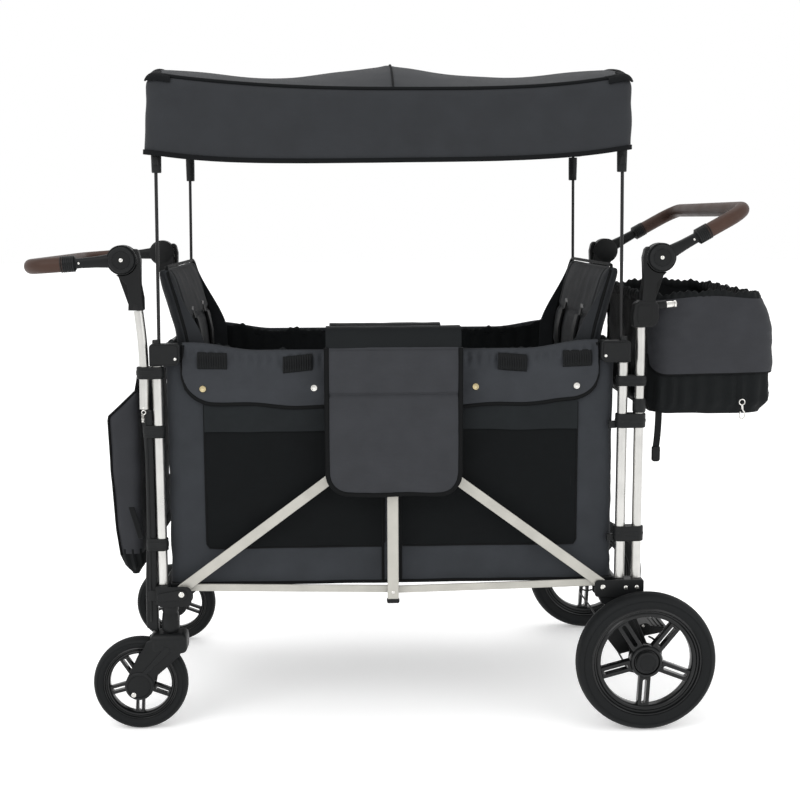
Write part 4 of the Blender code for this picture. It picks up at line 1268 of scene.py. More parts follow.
@dataclass
class Caster:
    """Swivelling caster fork: barrel shoulder, two legs and their hub faces."""

    side: str
    barrel_low: tuple[float, float] = (-0.5265, 0.1720)
    barrel_high: tuple[float, float] = (-0.4470, 0.2155)
    leg_gap: float = 0.0215
    leg_face: float = 0.0290
    hub: float = 0.0315

    def build(self) -> None:
        """Make the fork and its screws."""
        out = SIDES[self.side]
        low, high = D.box(f"front_tyre_{self.side}")
        wheel, radius = (low + high) / 2, (high.z - low.z) / 2
        y = wheel.y
        barrel = Bench.block(
            "barrel", (self.barrel_low[0], y - self.leg_face - 0.001, self.barrel_low[1]),
            (self.barrel_high[0], y + self.leg_face + 0.001, self.barrel_high[1]), 0.011, 4,
        )
        legs = [self._leg(wheel, side) for side in (-1, 1)]
        cutter = Bench.rod(
            "clearance", (wheel.x, y - self.leg_gap + 0.001, wheel.z),
            (wheel.x, y + self.leg_gap - 0.001, wheel.z),
            radius + 0.0035, 64,
        )
        Bench.modify(barrel, "BOOLEAN", object=cutter, operation="DIFFERENCE", solver="EXACT")
        bpy.data.objects.remove(cutter, do_unlink=True)
        Bench.tidy(barrel)
        fork = Bench.join(f"caster_shell_{self.side}", [barrel, *legs, self._axle(wheel)])
        Bench.dress(fork, Finishes.PLASTIC, f"caster_{self.side}", f"caster_fork_{self.side}")
        face = y + out * (self.leg_face + 0.0035)
        head = dome_screw(
            f"caster_screw_{self.side}", (wheel.x - 0.012, face, wheel.z - 0.0185), out, 0.0058, 0.0026
        )
        Bench.dress(head, Finishes.CHROME, f"caster_{self.side}")

    def _leg(self, wheel: Vector, side: int) -> Solid:
        """One leg, from under the shoulder to a disc round the axle, with a stepped hub face.

        Args:
            wheel: Middle of the wheel.
            side: 1 or -1, the leg's side of the wheel.

        Returns:
            The piece.
        """
        arc = [math.radians(146 + 16 * step) for step in range(13)]
        outline = [(wheel.x + self.hub * math.cos(a), wheel.z + self.hub * math.sin(a)) for a in arc]
        outline += [
            (-0.5160, 0.1210), (-0.4850, 0.1480), (-0.4630, 0.1690), (-0.4530, 0.1880), (-0.4660, 0.2080)
        ]
        outline += [(-0.5150, 0.2080), (-0.5330, 0.2000), (-0.5405, 0.1850), (-0.5560, 0.1630)]
        near, far = sorted((wheel.y + side * self.leg_gap, wheel.y + side * self.leg_face))
        leg = Bench.plate("leg", outline, "XZ", near, far, 0.0028, 3)
        start = self.leg_face - 0.002
        face = [
            (0.0, start), (self.hub * 0.97, start), (self.hub * 0.97, self.leg_face + 0.0018),
            (self.hub * 0.91, self.leg_face + 0.0034), (self.hub * 0.80, self.leg_face + 0.0036),
            (self.hub * 0.77, self.leg_face + 0.0020), (self.hub * 0.30, self.leg_face + 0.0038),
            (0.0, self.leg_face + 0.0042),
        ]
        disc = Bench.turned("disc", face, wheel, (0, side, 0), 48)
        rib = Bench.plate(
            "rib", capsule((-0.5430, 0.1270), (-0.4900, 0.1820), 0.0045, 0.0075), "XZ",
            *sorted((wheel.y + side * (self.leg_face - 0.001), wheel.y + side * (self.leg_face + 0.0020))),
            0.0012,
        )
        return Bench.join("leg", [leg, disc, rib])

    def _axle(self, wheel: Vector) -> Solid:
        """Axle through both legs."""
        reach = Vector((0, self.leg_face, 0))
        return Bench.rod("axle", wheel - reach, wheel + reach, 0.0042, 16)


# ---------------------------------------------------------------- tubular frame
@dataclass
class FrontFrame:
    """Front posts, corner castings, caster housings, guide struts, handle tubes and cross tubes."""

    tube: float = 0.0100
    post: float = 0.0110
    strut_left: tuple = (
        (-0.5325, 0.700), (-0.5270, 0.600), (-0.5285, 0.450), (-0.5340, 0.330), (-0.5352, 0.225)
    )
    strut_right: tuple = (
        (-0.5092, 0.214), (-0.5092, 0.330), (-0.5092, 0.450), (-0.5092, 0.600), (-0.5098, 0.700)
    )
    tube_path: tuple = (
        (-0.5262, 0.705), (-0.5252, 0.745), (-0.5243, 0.800), (-0.5262, 0.850), (-0.5300, 0.893),
        (-0.5322, 0.9135)
    )

    def build(self) -> None:
        """Make every piece of the front frame."""
        for name, out in SIDES.items():
            y = out * D.post_y
            post = Bench.rod(
                f"post_tube_front_{name}", (-D.post_x, y, D.foot), (-D.post_x, y, D.head), self.post, 32
            )
            Bench.dress(post, Finishes.TUBE, "front_frame", f"front_post_{name}")
            self._handle_tube(name, y)
            self._bottom(name, out, y)
            self._top(name, out, y)
        self._ties()

    def _handle_tube(self, name: str, y: float) -> None:
        """Curved silver tube, its moulded clamp, end plug, hook and small spring.

        Args:
            name: left or right.
            y: Place across the wagon.
        """
        path = Bench.smooth_path([(x, y, z) for x, z in self.tube_path])
        tube = Bench.tube(f"handle_tube_front_{name}", path, self.tube, 24)
        Bench.dress(tube, Finishes.TUBE, "front_frame", f"front_handle_tube_{name}")
        clamp = Bench.plate(
            "clamp", capsule((-0.5252, y), (-0.4970, y), 0.0150, 0.0140), "XY", 0.7695, 0.7955, 0.0022, 3
        )
        lip = Bench.plate(
            "lip", capsule((-0.5252, y), (-0.4970, y), 0.0160, 0.0148), "XY", 0.7770, 0.7880, 0.0015
        )
        clamp = Bench.join(f"handle_clamp_front_{name}", [clamp, lip])
        Bench.dress(clamp, Finishes.PLASTIC, "front_frame")
        x, z, face = -0.5262, 0.7050, y + math.copysign(0.0105, y)
        ring = [
            (x + 0.0042 * math.cos(a), face, z - 0.006 + 0.0042 * math.sin(a))
            for a in (2 * math.pi * step / 16 for step in range(16))
        ]
        eye = Bench.tube("eye", ring, 0.0011, 8, closed=True)
        pin = Bench.rod("pin", (x, y, z + 0.004), (x, face + math.copysign(0.0012, y), z + 0.004), 0.0026, 16)
        coil = [
            (
                x - 0.002 + 0.0028 * math.cos(t * 1.2), face + 0.0028 * math.sin(t * 1.2),
                z - 0.0105 - 0.00035 * t
            )
            for t in range(48)
        ]
        spring = Bench.tube("spring", coil, 0.0006, 6)
        Bench.dress(Bench.join(f"tube_hook_front_{name}", [eye, pin, spring]), Finishes.CHROME, "front_frame")

    def _bottom(self, name: str, out: int, y: float) -> None:
        """Corner casting with its cheeks, the caster housing, the guide strut and its clamps.

        Args:
            name: left or right.
            out: 1 or -1, the way out along Y.
            y: Place across the wagon.
        """
        parts = []
        core_y = sorted((out * 0.2870, out * 0.3195))
        parts.append(
            Bench.plate("core", rounded((-0.5115, 0.2790), (-0.4825, 0.3212), 0.004), "XZ", *core_y, 0.0016)
        )
        cheek = rounded((-0.5085, 0.2765), (-0.4345, 0.3205), [0.010, 0.013, 0.012, 0.005])
        for near, far in ((0.3195, 0.3240), (0.2905, 0.2943)):
            parts.append(Bench.plate("cheek", cheek, "XZ", *sorted((out * near, out * far)), 0.0014, 3))
        boss_y = sorted((out * 0.3235, out * 0.3262))
        parts.append(Bench.plate(
            "boss", capsule((-0.4990, 0.2985), (-0.4555, 0.3030), 0.0085, 0.0115), "XZ", *boss_y, 0.0012
        ))
        housing = [
            (0.0, 0.2172), (0.0168, 0.2172), (0.0185, 0.2195), (0.0192, 0.2260), (0.0190, 0.2400),
            (0.0174, 0.2560)
        ]
        housing += [
            (0.0166, 0.2580), (0.0166, 0.2610), (0.0178, 0.2640), (0.0182, 0.2780), (0.0160, 0.2850),
            (0.0, 0.2850)
        ]
        parts.append(Bench.turned("housing", housing, (-0.4835, y, 0), (0, 0, 1), 40))
        strut_y = sorted((out * 0.2890, out * 0.3065))
        parts.append(Bench.plate("strut", self.strut_left + self.strut_right, "XZ", *strut_y, 0.0040, 3))
        groove = ((-0.5245, 0.690), (-0.5225, 0.600), (-0.5225, 0.450), (-0.5235, 0.330), (-0.5240, 0.240))
        path = Bench.smooth_path([(x, out * 0.3058, z) for x, z in groove], 6)
        parts.append(Bench.tube("bead", path, 0.0032, 12))
        for low, high in ((0.397, 0.424), (0.643, 0.670)):
            ring = capsule((-0.5200, y), (-0.4970, y), 0.0105, 0.0140)
            parts.append(Bench.plate("ring", ring, "XY", low, high, 0.0020, 3))
            band = capsule((-0.5200, y), (-0.4970, y), 0.0112, 0.0148)
            parts.append(Bench.plate("band", band, "XY", low + 0.008, high - 0.008, 0.0012))
        link = Bench.block("link", (-0.530, y - 0.009, 0.2860), (-0.508, y + 0.006, 0.3100), 0.002)
        casting = Bench.join(f"corner_casting_front_bottom_{name}", [*parts, link])
        Bench.dress(casting, Finishes.PLASTIC, "front_frame", "front_bottom_crossbar")
        rivet = dome_screw(
            f"corner_rivet_front_bottom_{name}", (-0.4555, out * 0.3258, 0.3040), out, 0.0066, 0.0026
        )
        Bench.dress(rivet, Finishes.CHROME, "front_frame")

    def _top(self, name: str, out: int, y: float) -> None:
        """Top corner casting with its rod socket and a rivet.

        Args:
            name: left or right.
            out: 1 or -1, the way out along Y.
            y: Place across the wagon.
        """
        outline = rounded((-0.5115, 0.7975), (-0.4470, 0.8440), [0.003, 0.014, 0.005, 0.008])
        body = Bench.plate("body", outline, "XZ", *sorted((out * 0.2868, out * 0.3120)), 0.0022, 3)
        pad = rounded((-0.5080, 0.8010), (-0.4520, 0.8400), [0.003, 0.011, 0.004, 0.006])
        panel = Bench.plate("panel", pad, "XZ", *sorted((out * 0.3110, out * 0.3140)), 0.0012)
        ring = [(0.0042, 0.8400), (0.0086, 0.8400), (0.0086, 0.8500), (0.0074, 0.8520), (0.0042, 0.8520)]
        socket = Bench.turned("socket", ring, (-D.post_x, y, 0), (0, 0, 1), 28)
        casting = Bench.join(f"corner_casting_front_top_{name}", [body, panel, socket])
        Bench.dress(casting, Finishes.PLASTIC, "front_frame", "front_top_crossbar")
        rivet = dome_screw(
            f"corner_rivet_front_top_{name}", (-0.4570, out * 0.3138, 0.8120), out, 0.0034, 0.0016
        )
        Bench.dress(rivet, Finishes.CHROME, "front_frame")

    def _ties(self) -> None:
        """The two cross tubes."""
        for height, (low, high) in (("bottom", (0.299, 0.299)), ("top", (0.821, 0.821))):
            tie = Bench.rod(
                f"tie_tube_front_{height}", (-D.post_x, -0.288, low), (-D.post_x, 0.288, high), 0.009, 32
            )
            Bench.dress(tie, Finishes.ROD, "front_frame", slot="black_plastic")


@dataclass
class RearFrame:
    """Rear posts, corner castings, axle arms, handle tubes, clamps and cross tubes."""

    tube: float = 0.0102
    post: float = 0.0110
    tube_path: tuple = (
        (0.5335, 0.322), (0.5335, 0.480), (0.5332, 0.640), (0.5338, 0.740), (0.5342, 0.810), (0.5336, 0.8712)
    )
    wheel: tuple[float, float] = (0.5460, 0.1525)

    def build(self) -> None:
        """Make every piece of the rear frame."""
        for name, out in SIDES.items():
            y = out * D.post_y
            post = Bench.rod(
                f"post_tube_rear_{name}", (D.post_x, y, D.foot), (D.post_x, y, D.head), self.post, 32
            )
            Bench.dress(post, Finishes.TUBE, "rear_frame", f"rear_post_{name}")
            path = Bench.smooth_path([(x, y, z) for x, z in self.tube_path])
            tube = Bench.tube(f"handle_tube_rear_{name}", path, self.tube, 24)
            Bench.dress(tube, Finishes.TUBE, "rear_frame", f"rear_handle_tube_{name}")
            self._clamps(name, y)
            self._bottom(name, out)
            self._top(name, out, y)
        for height, level in (("bottom", 0.299), ("top", 0.821)):
            tie = Bench.rod(
                f"tie_tube_rear_{height}", (D.post_x, -0.288, level), (D.post_x, 0.288, level), 0.009, 32
            )
            Bench.dress(tie, Finishes.ROD, "rear_frame", slot="black_plastic")
        axle = Bench.rod(
            "rear_axle_bar", (self.wheel[0], -0.376, self.wheel[1]), (self.wheel[0], 0.376, self.wheel[1]),
            0.0078, 24
        )
        Bench.dress(axle, Finishes.TUBE, "rear_frame")

    def _clamps(self, name: str, y: float) -> None:
        """Double clamps that join post and tube, and the dark collar between them.

        Args:
            name: left or right.
            y: Place across the wagon.
        """
        parts = []
        for low, high, lug in ((0.746, 0.768, False), (0.655, 0.686, True), (0.405, 0.438, True)):
            ring = capsule((0.4970, y), (0.5335, y), 0.0150, 0.0145)
            parts.append(Bench.plate("ring", ring, "XY", low, high, 0.0020, 3))
            band = capsule((0.4970, y), (0.5335, y), 0.0158, 0.0153)
            middle = (low + high) / 2
            parts.append(Bench.plate("band", band, "XY", middle - 0.0035, middle + 0.0035, 0.0014))
            if lug:
                near, far = sorted((y, y - math.copysign(0.0100, y)))
                parts.append(
                    Bench.block("lug", (0.4690, near, low - 0.002), (0.4860, far, low + 0.014), 0.002)
                )
        collar = [
            (0.0, 0.6880), (0.0128, 0.6880), (0.0142, 0.6910), (0.0142, 0.7150), (0.0128, 0.7180),
            (0.0, 0.7180)
        ]
        parts.append(Bench.turned("collar", collar, (0.5335, y, 0), (0, 0, 1), 32))
        Bench.dress(Bench.join(f"tube_clamps_rear_{name}", parts), Finishes.PLASTIC, "rear_frame")

    def _bottom(self, name: str, out: int) -> None:
        """Corner casting, its rivets, the ribbed axle arm and its bracket.

        Args:
            name: left or right.
            out: 1 or -1, the way out along Y.
        """
        parts = []
        core_y = sorted((out * 0.2870, out * 0.3195))
        parts.append(
            Bench.plate("core", rounded((0.4825, 0.2810), (0.5480, 0.3212), 0.004), "XZ", *core_y, 0.0016)
        )
        cheek = rounded((0.4400, 0.2840), (0.5475, 0.3215), [0.008, 0.010, 0.004, 0.008])
        for near, far in ((0.3195, 0.3240), (0.2905, 0.2943)):
            parts.append(Bench.plate("cheek", cheek, "XZ", *sorted((out * near, out * far)), 0.0014, 3))
        foot_y = sorted((out * 0.2950, out * 0.3190))
        foot = [
            (0.4490, 0.2850), (0.4560, 0.2680), (0.4700, 0.2620), (0.5200, 0.2610), (0.5300, 0.2690),
            (0.5320, 0.2850)
        ]
        parts.append(Bench.plate("foot", foot, "XZ", *foot_y, 0.0022, 3))
        arm_y = sorted((out * 0.3005, out * 0.3165))
        arm = capsule((0.4960, 0.2860), self.wheel, 0.0150, 0.0215)
        parts.append(Bench.plate("arm", arm, "XZ", *arm_y, 0.0030, 3))
        for start, end in (((0.4905, 0.2600), (0.5285, 0.1620)), ((0.5115, 0.2600), (0.5485, 0.1700))):
            rib_y = sorted((out * 0.3150, out * 0.3185))
            parts.append(Bench.plate("rib", capsule(start, end, 0.0034, 0.0034), "XZ", *rib_y, 0.0012))
        bracket = [
            (0.4640, 0.1960), (0.4790, 0.2000), (0.5010, 0.2250), (0.5120, 0.2050), (0.5250, 0.1560),
            (0.4990, 0.1490)
        ]
        bracket_y = sorted((out * 0.3020, out * 0.3120))
        parts.append(Bench.plate("bracket", bracket, "XZ", *bracket_y, 0.0030, 3))
        boss = [
            (0.0, 0.3000), (0.0240, 0.3000), (0.0240, 0.3140), (0.0220, 0.3165), (0.0120, 0.3170),
            (0.0110, 0.3270), (0.0, 0.3270)
        ]
        parts.append(Bench.turned("boss", boss, (self.wheel[0], 0, self.wheel[1]), (0, out, 0), 40))
        casting = Bench.join(f"corner_casting_rear_bottom_{name}", parts)
        Bench.dress(casting, Finishes.PLASTIC, "rear_frame", "rear_bottom_crossbar")
        heads = [
            dome_screw("head", (x, out * 0.3236, z), out, radius, 0.0024)
            for x, z, radius in ((0.4580, 0.3060, 0.0062), (0.5080, 0.3050, 0.0048), (0.5320, 0.3055, 0.0048))
        ]
        Bench.dress(Bench.join(f"corner_rivets_rear_bottom_{name}", heads), Finishes.CHROME, "rear_frame")

    def _top(self, name: str, out: int, y: float) -> None:
        """Top corner casting with its rod socket, a cap panel and a rivet.

        Args:
            name: left or right.
            out: 1 or -1, the way out along Y.
            y: Place across the wagon.
        """
        outline = rounded((0.4470, 0.7975), (0.5115, 0.8440), [0.014, 0.003, 0.008, 0.005])
        body = Bench.plate("body", outline, "XZ", *sorted((out * 0.2868, out * 0.3120)), 0.0022, 3)
        pad = rounded((0.4520, 0.8010), (0.5080, 0.8400), [0.011, 0.003, 0.006, 0.004])
        panel = Bench.plate("panel", pad, "XZ", *sorted((out * 0.3110, out * 0.3140)), 0.0012)
        ring = [(0.0042, 0.8400), (0.0086, 0.8400), (0.0086, 0.8500), (0.0074, 0.8520), (0.0042, 0.8520)]
        socket = Bench.turned("socket", ring, (D.post_x, y, 0), (0, 0, 1), 28)
        casting = Bench.join(f"corner_casting_rear_top_{name}", [body, panel, socket])
        Bench.dress(casting, Finishes.PLASTIC, "rear_frame", "rear_top_crossbar")
        rivet = dome_screw(
            f"corner_rivet_rear_top_{name}", (0.4570, out * 0.3138, 0.8120), out, 0.0034, 0.0016
        )
        Bench.dress(rivet, Finishes.CHROME, "rear_frame")


# ---------------------------------------------------------------- fold linkage
@dataclass
class Linkage:
    """Rails, diagonals, centre posts and hubs, with their rivets and rubber feet."""

    rail: float = 0.0080
    diagonal: float = 0.0110
    edge: float = 0.0014

    def build(self) -> None:
        """Make the linkage of both sides."""
        for name, out in SIDES.items():
            for end in ("front", "rear"):
                self._bar(f"rail_{end}_{name}", f"flat_rail_{end}_{name}", f"rails_{end}", self.rail, 0.0)
                self._bar(
                    f"diagonal_{end}_{name}", f"flat_diagonal_{end}_{name}", f"diagonals_{end}",
                    self.diagonal, 0.337
                )
            self._centre(name, out)

    def _bar(self, node: str, name: str, body: str, half: float, rise: float) -> None:
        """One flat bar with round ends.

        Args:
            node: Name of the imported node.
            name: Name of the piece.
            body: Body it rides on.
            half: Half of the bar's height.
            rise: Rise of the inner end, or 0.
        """
        low, high = D.box(node)
        sign = -1 if "front" in node else 1
        corner = (sign * 0.455, 0.313)
        inner = (0.0, corner[1] + rise if rise else 0.303)
        bar = Bench.plate("bar", capsule(corner, inner, half, half), "XZ", low.y, high.y, self.edge, 3)
        Bench.dress(Bench.join(name, [bar]), Finishes.BAR, body, node)

    def _centre(self, name: str, out: int) -> None:
        """Centre post with its rivet and rubber foot, and the hub that slides on it.

        Args:
            name: left or right.
            out: 1 or -1, the way out along Y.
        """
        high = D.box(f"centre_post_{name}")[1]
        face = sorted((out * 0.3198, out * 0.3283))
        top = {"left": high.z - 0.0090, "right": 0.6735}[name]
        post = Bench.plate("post", rounded((-0.0120, 0.2860), (0.0120, top), 0.0022), "XZ", *face, 0.0020, 3)
        pin = Bench.rod("pin", (0, out * 0.2945, 0.303), (0, out * 0.3215, 0.303), 0.0040, 20)
        Bench.dress(
            Bench.join(f"centre_bar_{name}", [post, pin]), Finishes.BAR, "centre_posts", f"centre_post_{name}"
        )
        rivet = dome_screw(f"centre_rivet_{name}", (0, out * 0.3280, 0.303), out, 0.0040, 0.0018)
        Bench.dress(rivet, Finishes.CHROME, "centre_posts")
        outline = rounded((-0.0136, 0.2790), (0.0136, 0.2885), [0.004, 0.004, 0.0015, 0.0015])
        foot = Bench.plate(
            f"centre_foot_{name}", outline, "XZ", *sorted((out * 0.3185, out * 0.3297)), 0.0014, 3
        )
        Bench.dress(foot, Finishes.PLASTIC, "centre_posts")
        parts = []
        for side in (-1, 1):
            x0, x1 = sorted((side * 0.0130, side * 0.0210))
            parts.append(Bench.block(
                "cheek", (x0, min(out * 0.3198, out * 0.3330), 0.628),
                (x1, max(out * 0.3198, out * 0.3330), 0.672), 0.0015
            ))
        parts.append(Bench.plate(
            "plate", rounded((-0.0210, 0.628), (0.0210, 0.672), 0.004), "XZ",
            *sorted((out * 0.3296, out * 0.3330)), 0.0010
        ))
        Bench.dress(Bench.join(f"hub_slide_{name}", parts), Finishes.PLASTIC, "hub_slider", f"hub_{name}")


# ---------------------------------------------------------------- handles
@dataclass
class Handle:
    """A tilting U handle: discs, arms, ribbed collars, leather grip, and the sleeves that hold it."""

    end: str
    knuckle: tuple[float, float]
    reach: float
    rise: float
    grip_start: float
    bend: float = 0.050
    arm_y: float = 0.307
    arm: float = 0.0115
    disc: float = 0.031

    def build(self) -> None:
        """Make the moving handle and its fixed sleeves."""
        self.sign = -1 if self.end == "front" else 1
        self.body = f"{self.end}_handle"
        self.along = Vector((self.sign * math.cos(self.rise), 0, math.sin(self.rise)))
        self.up = Vector((-self.sign * math.sin(self.rise), 0, math.cos(self.rise)))
        self.base = Vector((self.knuckle[0], 0, self.knuckle[1]))
        self._arms()
        self._grip()
        for name, out in SIDES.items():
            self._sleeve(name, out)

    def _place(self, out: float, y: float, lift: float = 0.0) -> Vector:
        """Point at a distance out along the arm, across and above it."""
        return self.base + self.along * out + self.up * lift + Vector((0, y, 0))

    def _bow(self, start: float, steps: int = 10) -> list[Vector]:
        """Centreline from the left arm round the bar to the right arm.

        Args:
            start: Where the left arm begins.
            steps: Number of points in each bend.

        Returns:
            Points from end to end.
        """
        half = [self._place(start, -self.arm_y)]
        for step in range(steps + 1):
            turn = math.radians(90 * step / steps)
            out = self.reach - self.bend + self.bend * math.sin(turn)
            half.append(self._place(out, -self.arm_y + self.bend * (1 - math.cos(turn))))
        middle = [self._place(self.reach, y) for y in (-0.17, -0.085, 0.0)]
        half += middle
        return half + [Vector((point.x, -point.y, point.z)) for point in reversed(half[:-1])]

    def _arms(self) -> None:
        """Discs with their covers, tapering arms and ribbed collars."""
        for name, out in SIDES.items():
            axis, middle = (0, out, 0), self.base
            outer = [(0.0, 0.2950), (0.0305, 0.2950), (0.0310, 0.2960), (0.0310, 0.3160), (0.0298, 0.3172)]
            outer += [
                (0.0280, 0.3168), (0.0275, 0.3180), (0.0272, 0.3205), (0.0255, 0.3222), (0.0190, 0.3225)
            ]
            outer += [(0.0178, 0.3212), (0.0100, 0.3216), (0.0, 0.3218)]
            disc = Bench.turned("disc", outer, middle, axis, 56)
            sections = (
                (0.020, 0.0150, 0.0112), (0.034, 0.0136, 0.0112), (0.055, 0.0118, 0.0110),
                (0.085, 0.0108, 0.0108), (self.grip_start - 0.012, 0.0108, 0.0108)
            )
            arm = self._loft("arm", sections, out)
            collar = self._collar(out)
            Bench.dress(
                Bench.join(f"handle_arm_{self.end}_{name}", [disc, arm, collar]), Finishes.PLASTIC, self.body,
                f"{self.end}_handle_bar"
            )
            screws = [dome_screw("centre", middle + Vector((0, out * 0.3214, 0)), out, 0.0046, 0.0022)]
            seat = self._place(self.grip_start - 0.030, out * (self.arm_y + self.arm - 0.0012))
            screws.append(dome_screw("arm_screw", seat, out, 0.0026, 0.0014))
            Bench.dress(Bench.join(f"handle_screws_{self.end}_{name}", screws), Finishes.CHROME, self.body)

    def _loft(self, name: str, sections: Sequence[tuple[float, float, float]], out: int) -> Solid:
        """A bar of oval sections along one arm: distance out, half height and half width.

        Args:
            name: Name of the piece.
            sections: Sections along the arm: distance out, half height and half width.
            out: 1 or -1, the way out along Y.

        Returns:
            The piece.
        """
        spans = len(sections) - 1

        def shape(u: float, v: float) -> Vector:
            """Point on the bar.

            Args:
                u: Share along the piece, 0 to 1.
                v: Share across the piece, 0 to 1.

            Returns:
                The point, in the wagon's own axes.
            """
            place = v * spans
            index = min(int(place), spans - 1)
            share = place - index
            first, last = sections[index], sections[index + 1]
            along, high, wide = (first[i] + (last[i] - first[i]) * share for i in range(3))
            turn = 2 * math.pi * u
            corner = 0.72
            lift = math.copysign(abs(math.sin(turn)) ** corner, math.sin(turn)) * high
            across = math.copysign(abs(math.cos(turn)) ** corner, math.cos(turn)) * wide
            return self._place(along, out * self.arm_y + across, lift)

        return Bench.skin(name, shape, 28, 4 * spans, wrap=True, cap=True)

    def _collar(self, out: int) -> Solid:
        """Ribbed collar where the grip begins.

        Args:
            out: 1 or -1, the way out along Y.

        Returns:
            The piece.
        """
        profile = [(0.0, 0.0), (0.0128, 0.0), (0.0140, 0.0012)]
        for rib in range(6):
            at = 0.0030 + rib * 0.0042
            profile += [(0.0172, at), (0.0172, at + 0.0022), (0.0156, at + 0.0027), (0.0156, at + 0.0039)]
        profile += [(0.0172, 0.0286), (0.0172, 0.0304), (0.0, 0.0304)]
        start = self._place(self.grip_start - 0.0225, out * self.arm_y)
        return Bench.turned("collar", profile, start, self.along, 32)

    def _grip(self) -> None:
        """Leather grip with a sewn seam along its underside."""
        path = self._bow(self.grip_start + 0.004)
        grip = Bench.tube(f"leather_grip_{self.end}", path, 0.0158, 28)
        Bench.dress(grip, Finishes.LEATHER, self.body, f"{self.end}_grip")
        count = 150
        total = len(path) - 1
        stitches = []
        lengths = [0.0]
        for first, last in zip(path, path[1:]):
            lengths.append(lengths[-1] + (last - first).length)
        for index in range(count):
            want = lengths[-1] * (index + 0.5) / count
            span = max(i for i in range(total) if lengths[i] <= want)
            step = (path[span + 1] - path[span]).normalized()
            here = path[span] + step * (want - lengths[span])
            inner = step.cross(self.up).normalized()
            inward = inner if inner.dot(self.base - here) > 0 else -inner
            spot = here + inward * 0.01545
            stitches += [spot - step * 0.0012 - self.up * 0.0010, spot + step * 0.0012 + self.up * 0.0010]
        beads = [
            Bench.tube(
                "stitch", [stitches[2 * i], stitches[2 * i + 1]], 0.0006, 6
            ) for i in range(0, count, 2)
        ]
        Bench.dress(
            Bench.join(f"grip_stitches_{self.end}", beads), Finishes.PIPING, self.body, slot="grip_leather"
        )

    def _sleeve(self, name: str, out: int) -> None:
        """Fixed sleeve: disc behind the moving one, crescent round it and foot over the tube.

        Args:
            name: left or right.
            out: 1 or -1, the way out along Y.
        """
        side = 1 if self.end == "front" else -1
        x, z = self.knuckle
        foot_x = x + side * (0.0265 if self.end == "front" else 0.0270)
        if self.end == "rear":
            foot_x = x - 0.0255
        inner_y = sorted((out * 0.2824, out * 0.2940))
        outer_y = sorted((out * 0.2948, out * 0.3150))
        disc = Bench.turned(
            "disc", [(0.0, 0.2815), (0.0250, 0.2815), (0.0310, 0.2845), (0.0310, 0.2944), (0.0, 0.2944)],
            self.base, (0, out, 0), 56,
        )
        back = [(foot_x - 0.0150, 0.9150), (foot_x + 0.0150, 0.9150), (foot_x + 0.0150, 0.9400)]
        back += [(x + side * 0.0300, 1.0100), (x, 1.0350), (x - side * 0.0180, 1.0050)]
        if side < 0:
            back = [(foot_x - 0.0150, 0.9150), (foot_x + 0.0150, 0.9150), (x + 0.0180, 1.0050), (x, 1.0350)]
            back += [(x - 0.0300, 1.0100), (foot_x - 0.0150, 0.9400)]
        neck = Bench.plate("neck", back, "XZ", *inner_y, 0.0020, 3)
        crescent = []
        for angle, radius in ((42, 0.0345), (36, 0.0380), (26, 0.0395), (0, 0.0395)):
            turn = math.radians(angle)
            crescent.append((x + side * radius * math.cos(turn), z + radius * math.sin(turn)))
        low = 0.9150
        crescent += [
            (foot_x + side * 0.0118, 0.975), (foot_x + side * 0.0128, 0.945), (foot_x + side * 0.0158, low)
        ]
        crescent += [
            (foot_x - side * 0.0158, low), (foot_x - side * 0.0140, 0.942), (foot_x - side * 0.0165, 0.968)
        ]
        for step in range(13):
            turn = math.radians(-112 + (42 + 112) * step / 12)
            crescent.append((x + side * 0.0328 * math.cos(turn), z + 0.0328 * math.sin(turn)))
        shell = Bench.plate("shell", crescent, "XZ", *outer_y, 0.0032, 3)
        collar = [(0.0, -0.0002), (0.0150, -0.0002), (0.0160, 0.0016), (0.0156, 0.0120), (0.0, 0.0140)]
        parts = [
            disc, neck, shell, Bench.turned("collar", collar, (foot_x, out * D.post_y, 0.9150), (0, 0, 1), 32)
        ]
        if self.end == "rear":
            parts += self._housing(out)
            self._peg(name, out)
        sleeve = Bench.join(f"handle_sleeve_{self.end}_{name}", parts)
        Bench.dress(sleeve, Finishes.SLEEVE, f"{self.end}_frame", f"{self.end}_knuckle_{name}")

    def _housing(self, out: int) -> list[Solid]:
        """Housing that joins a rear sleeve to its tube, with the root of the bag peg.

        Args:
            out: 1 or -1, the way out along Y.

        Returns:
            The pieces.
        """
        y = out * D.post_y
        outline = [
            (0.5150, 0.8725), (0.5560, 0.8725), (0.5660, 0.8790), (0.5700, 0.8950), (0.5680, 0.9210),
            (0.5600, 0.9290)
        ]
        outline += [(0.5280, 0.9290), (0.5170, 0.9220), (0.5130, 0.8950)]
        body = Bench.plate("housing", outline, "XZ", *sorted((y - out * 0.0155, y + out * 0.0162)), 0.0035, 3)
        cover = Bench.plate(
            "cover", rounded((0.5230, 0.8800), (0.5520, 0.9200), 0.008), "XZ",
            *sorted((out * 0.3150, out * 0.3174)), 0.0010
        )
        root = Bench.turned(
            "root", [(0.0, 0.0), (0.0095, 0.0), (0.0095, 0.0300), (0.0085, 0.0330), (0.0, 0.0330)],
            (0.5580, out * 0.2860, 0.9150), (1.0, 0, 0.12), 28,
        )
        return [body, cover, root]

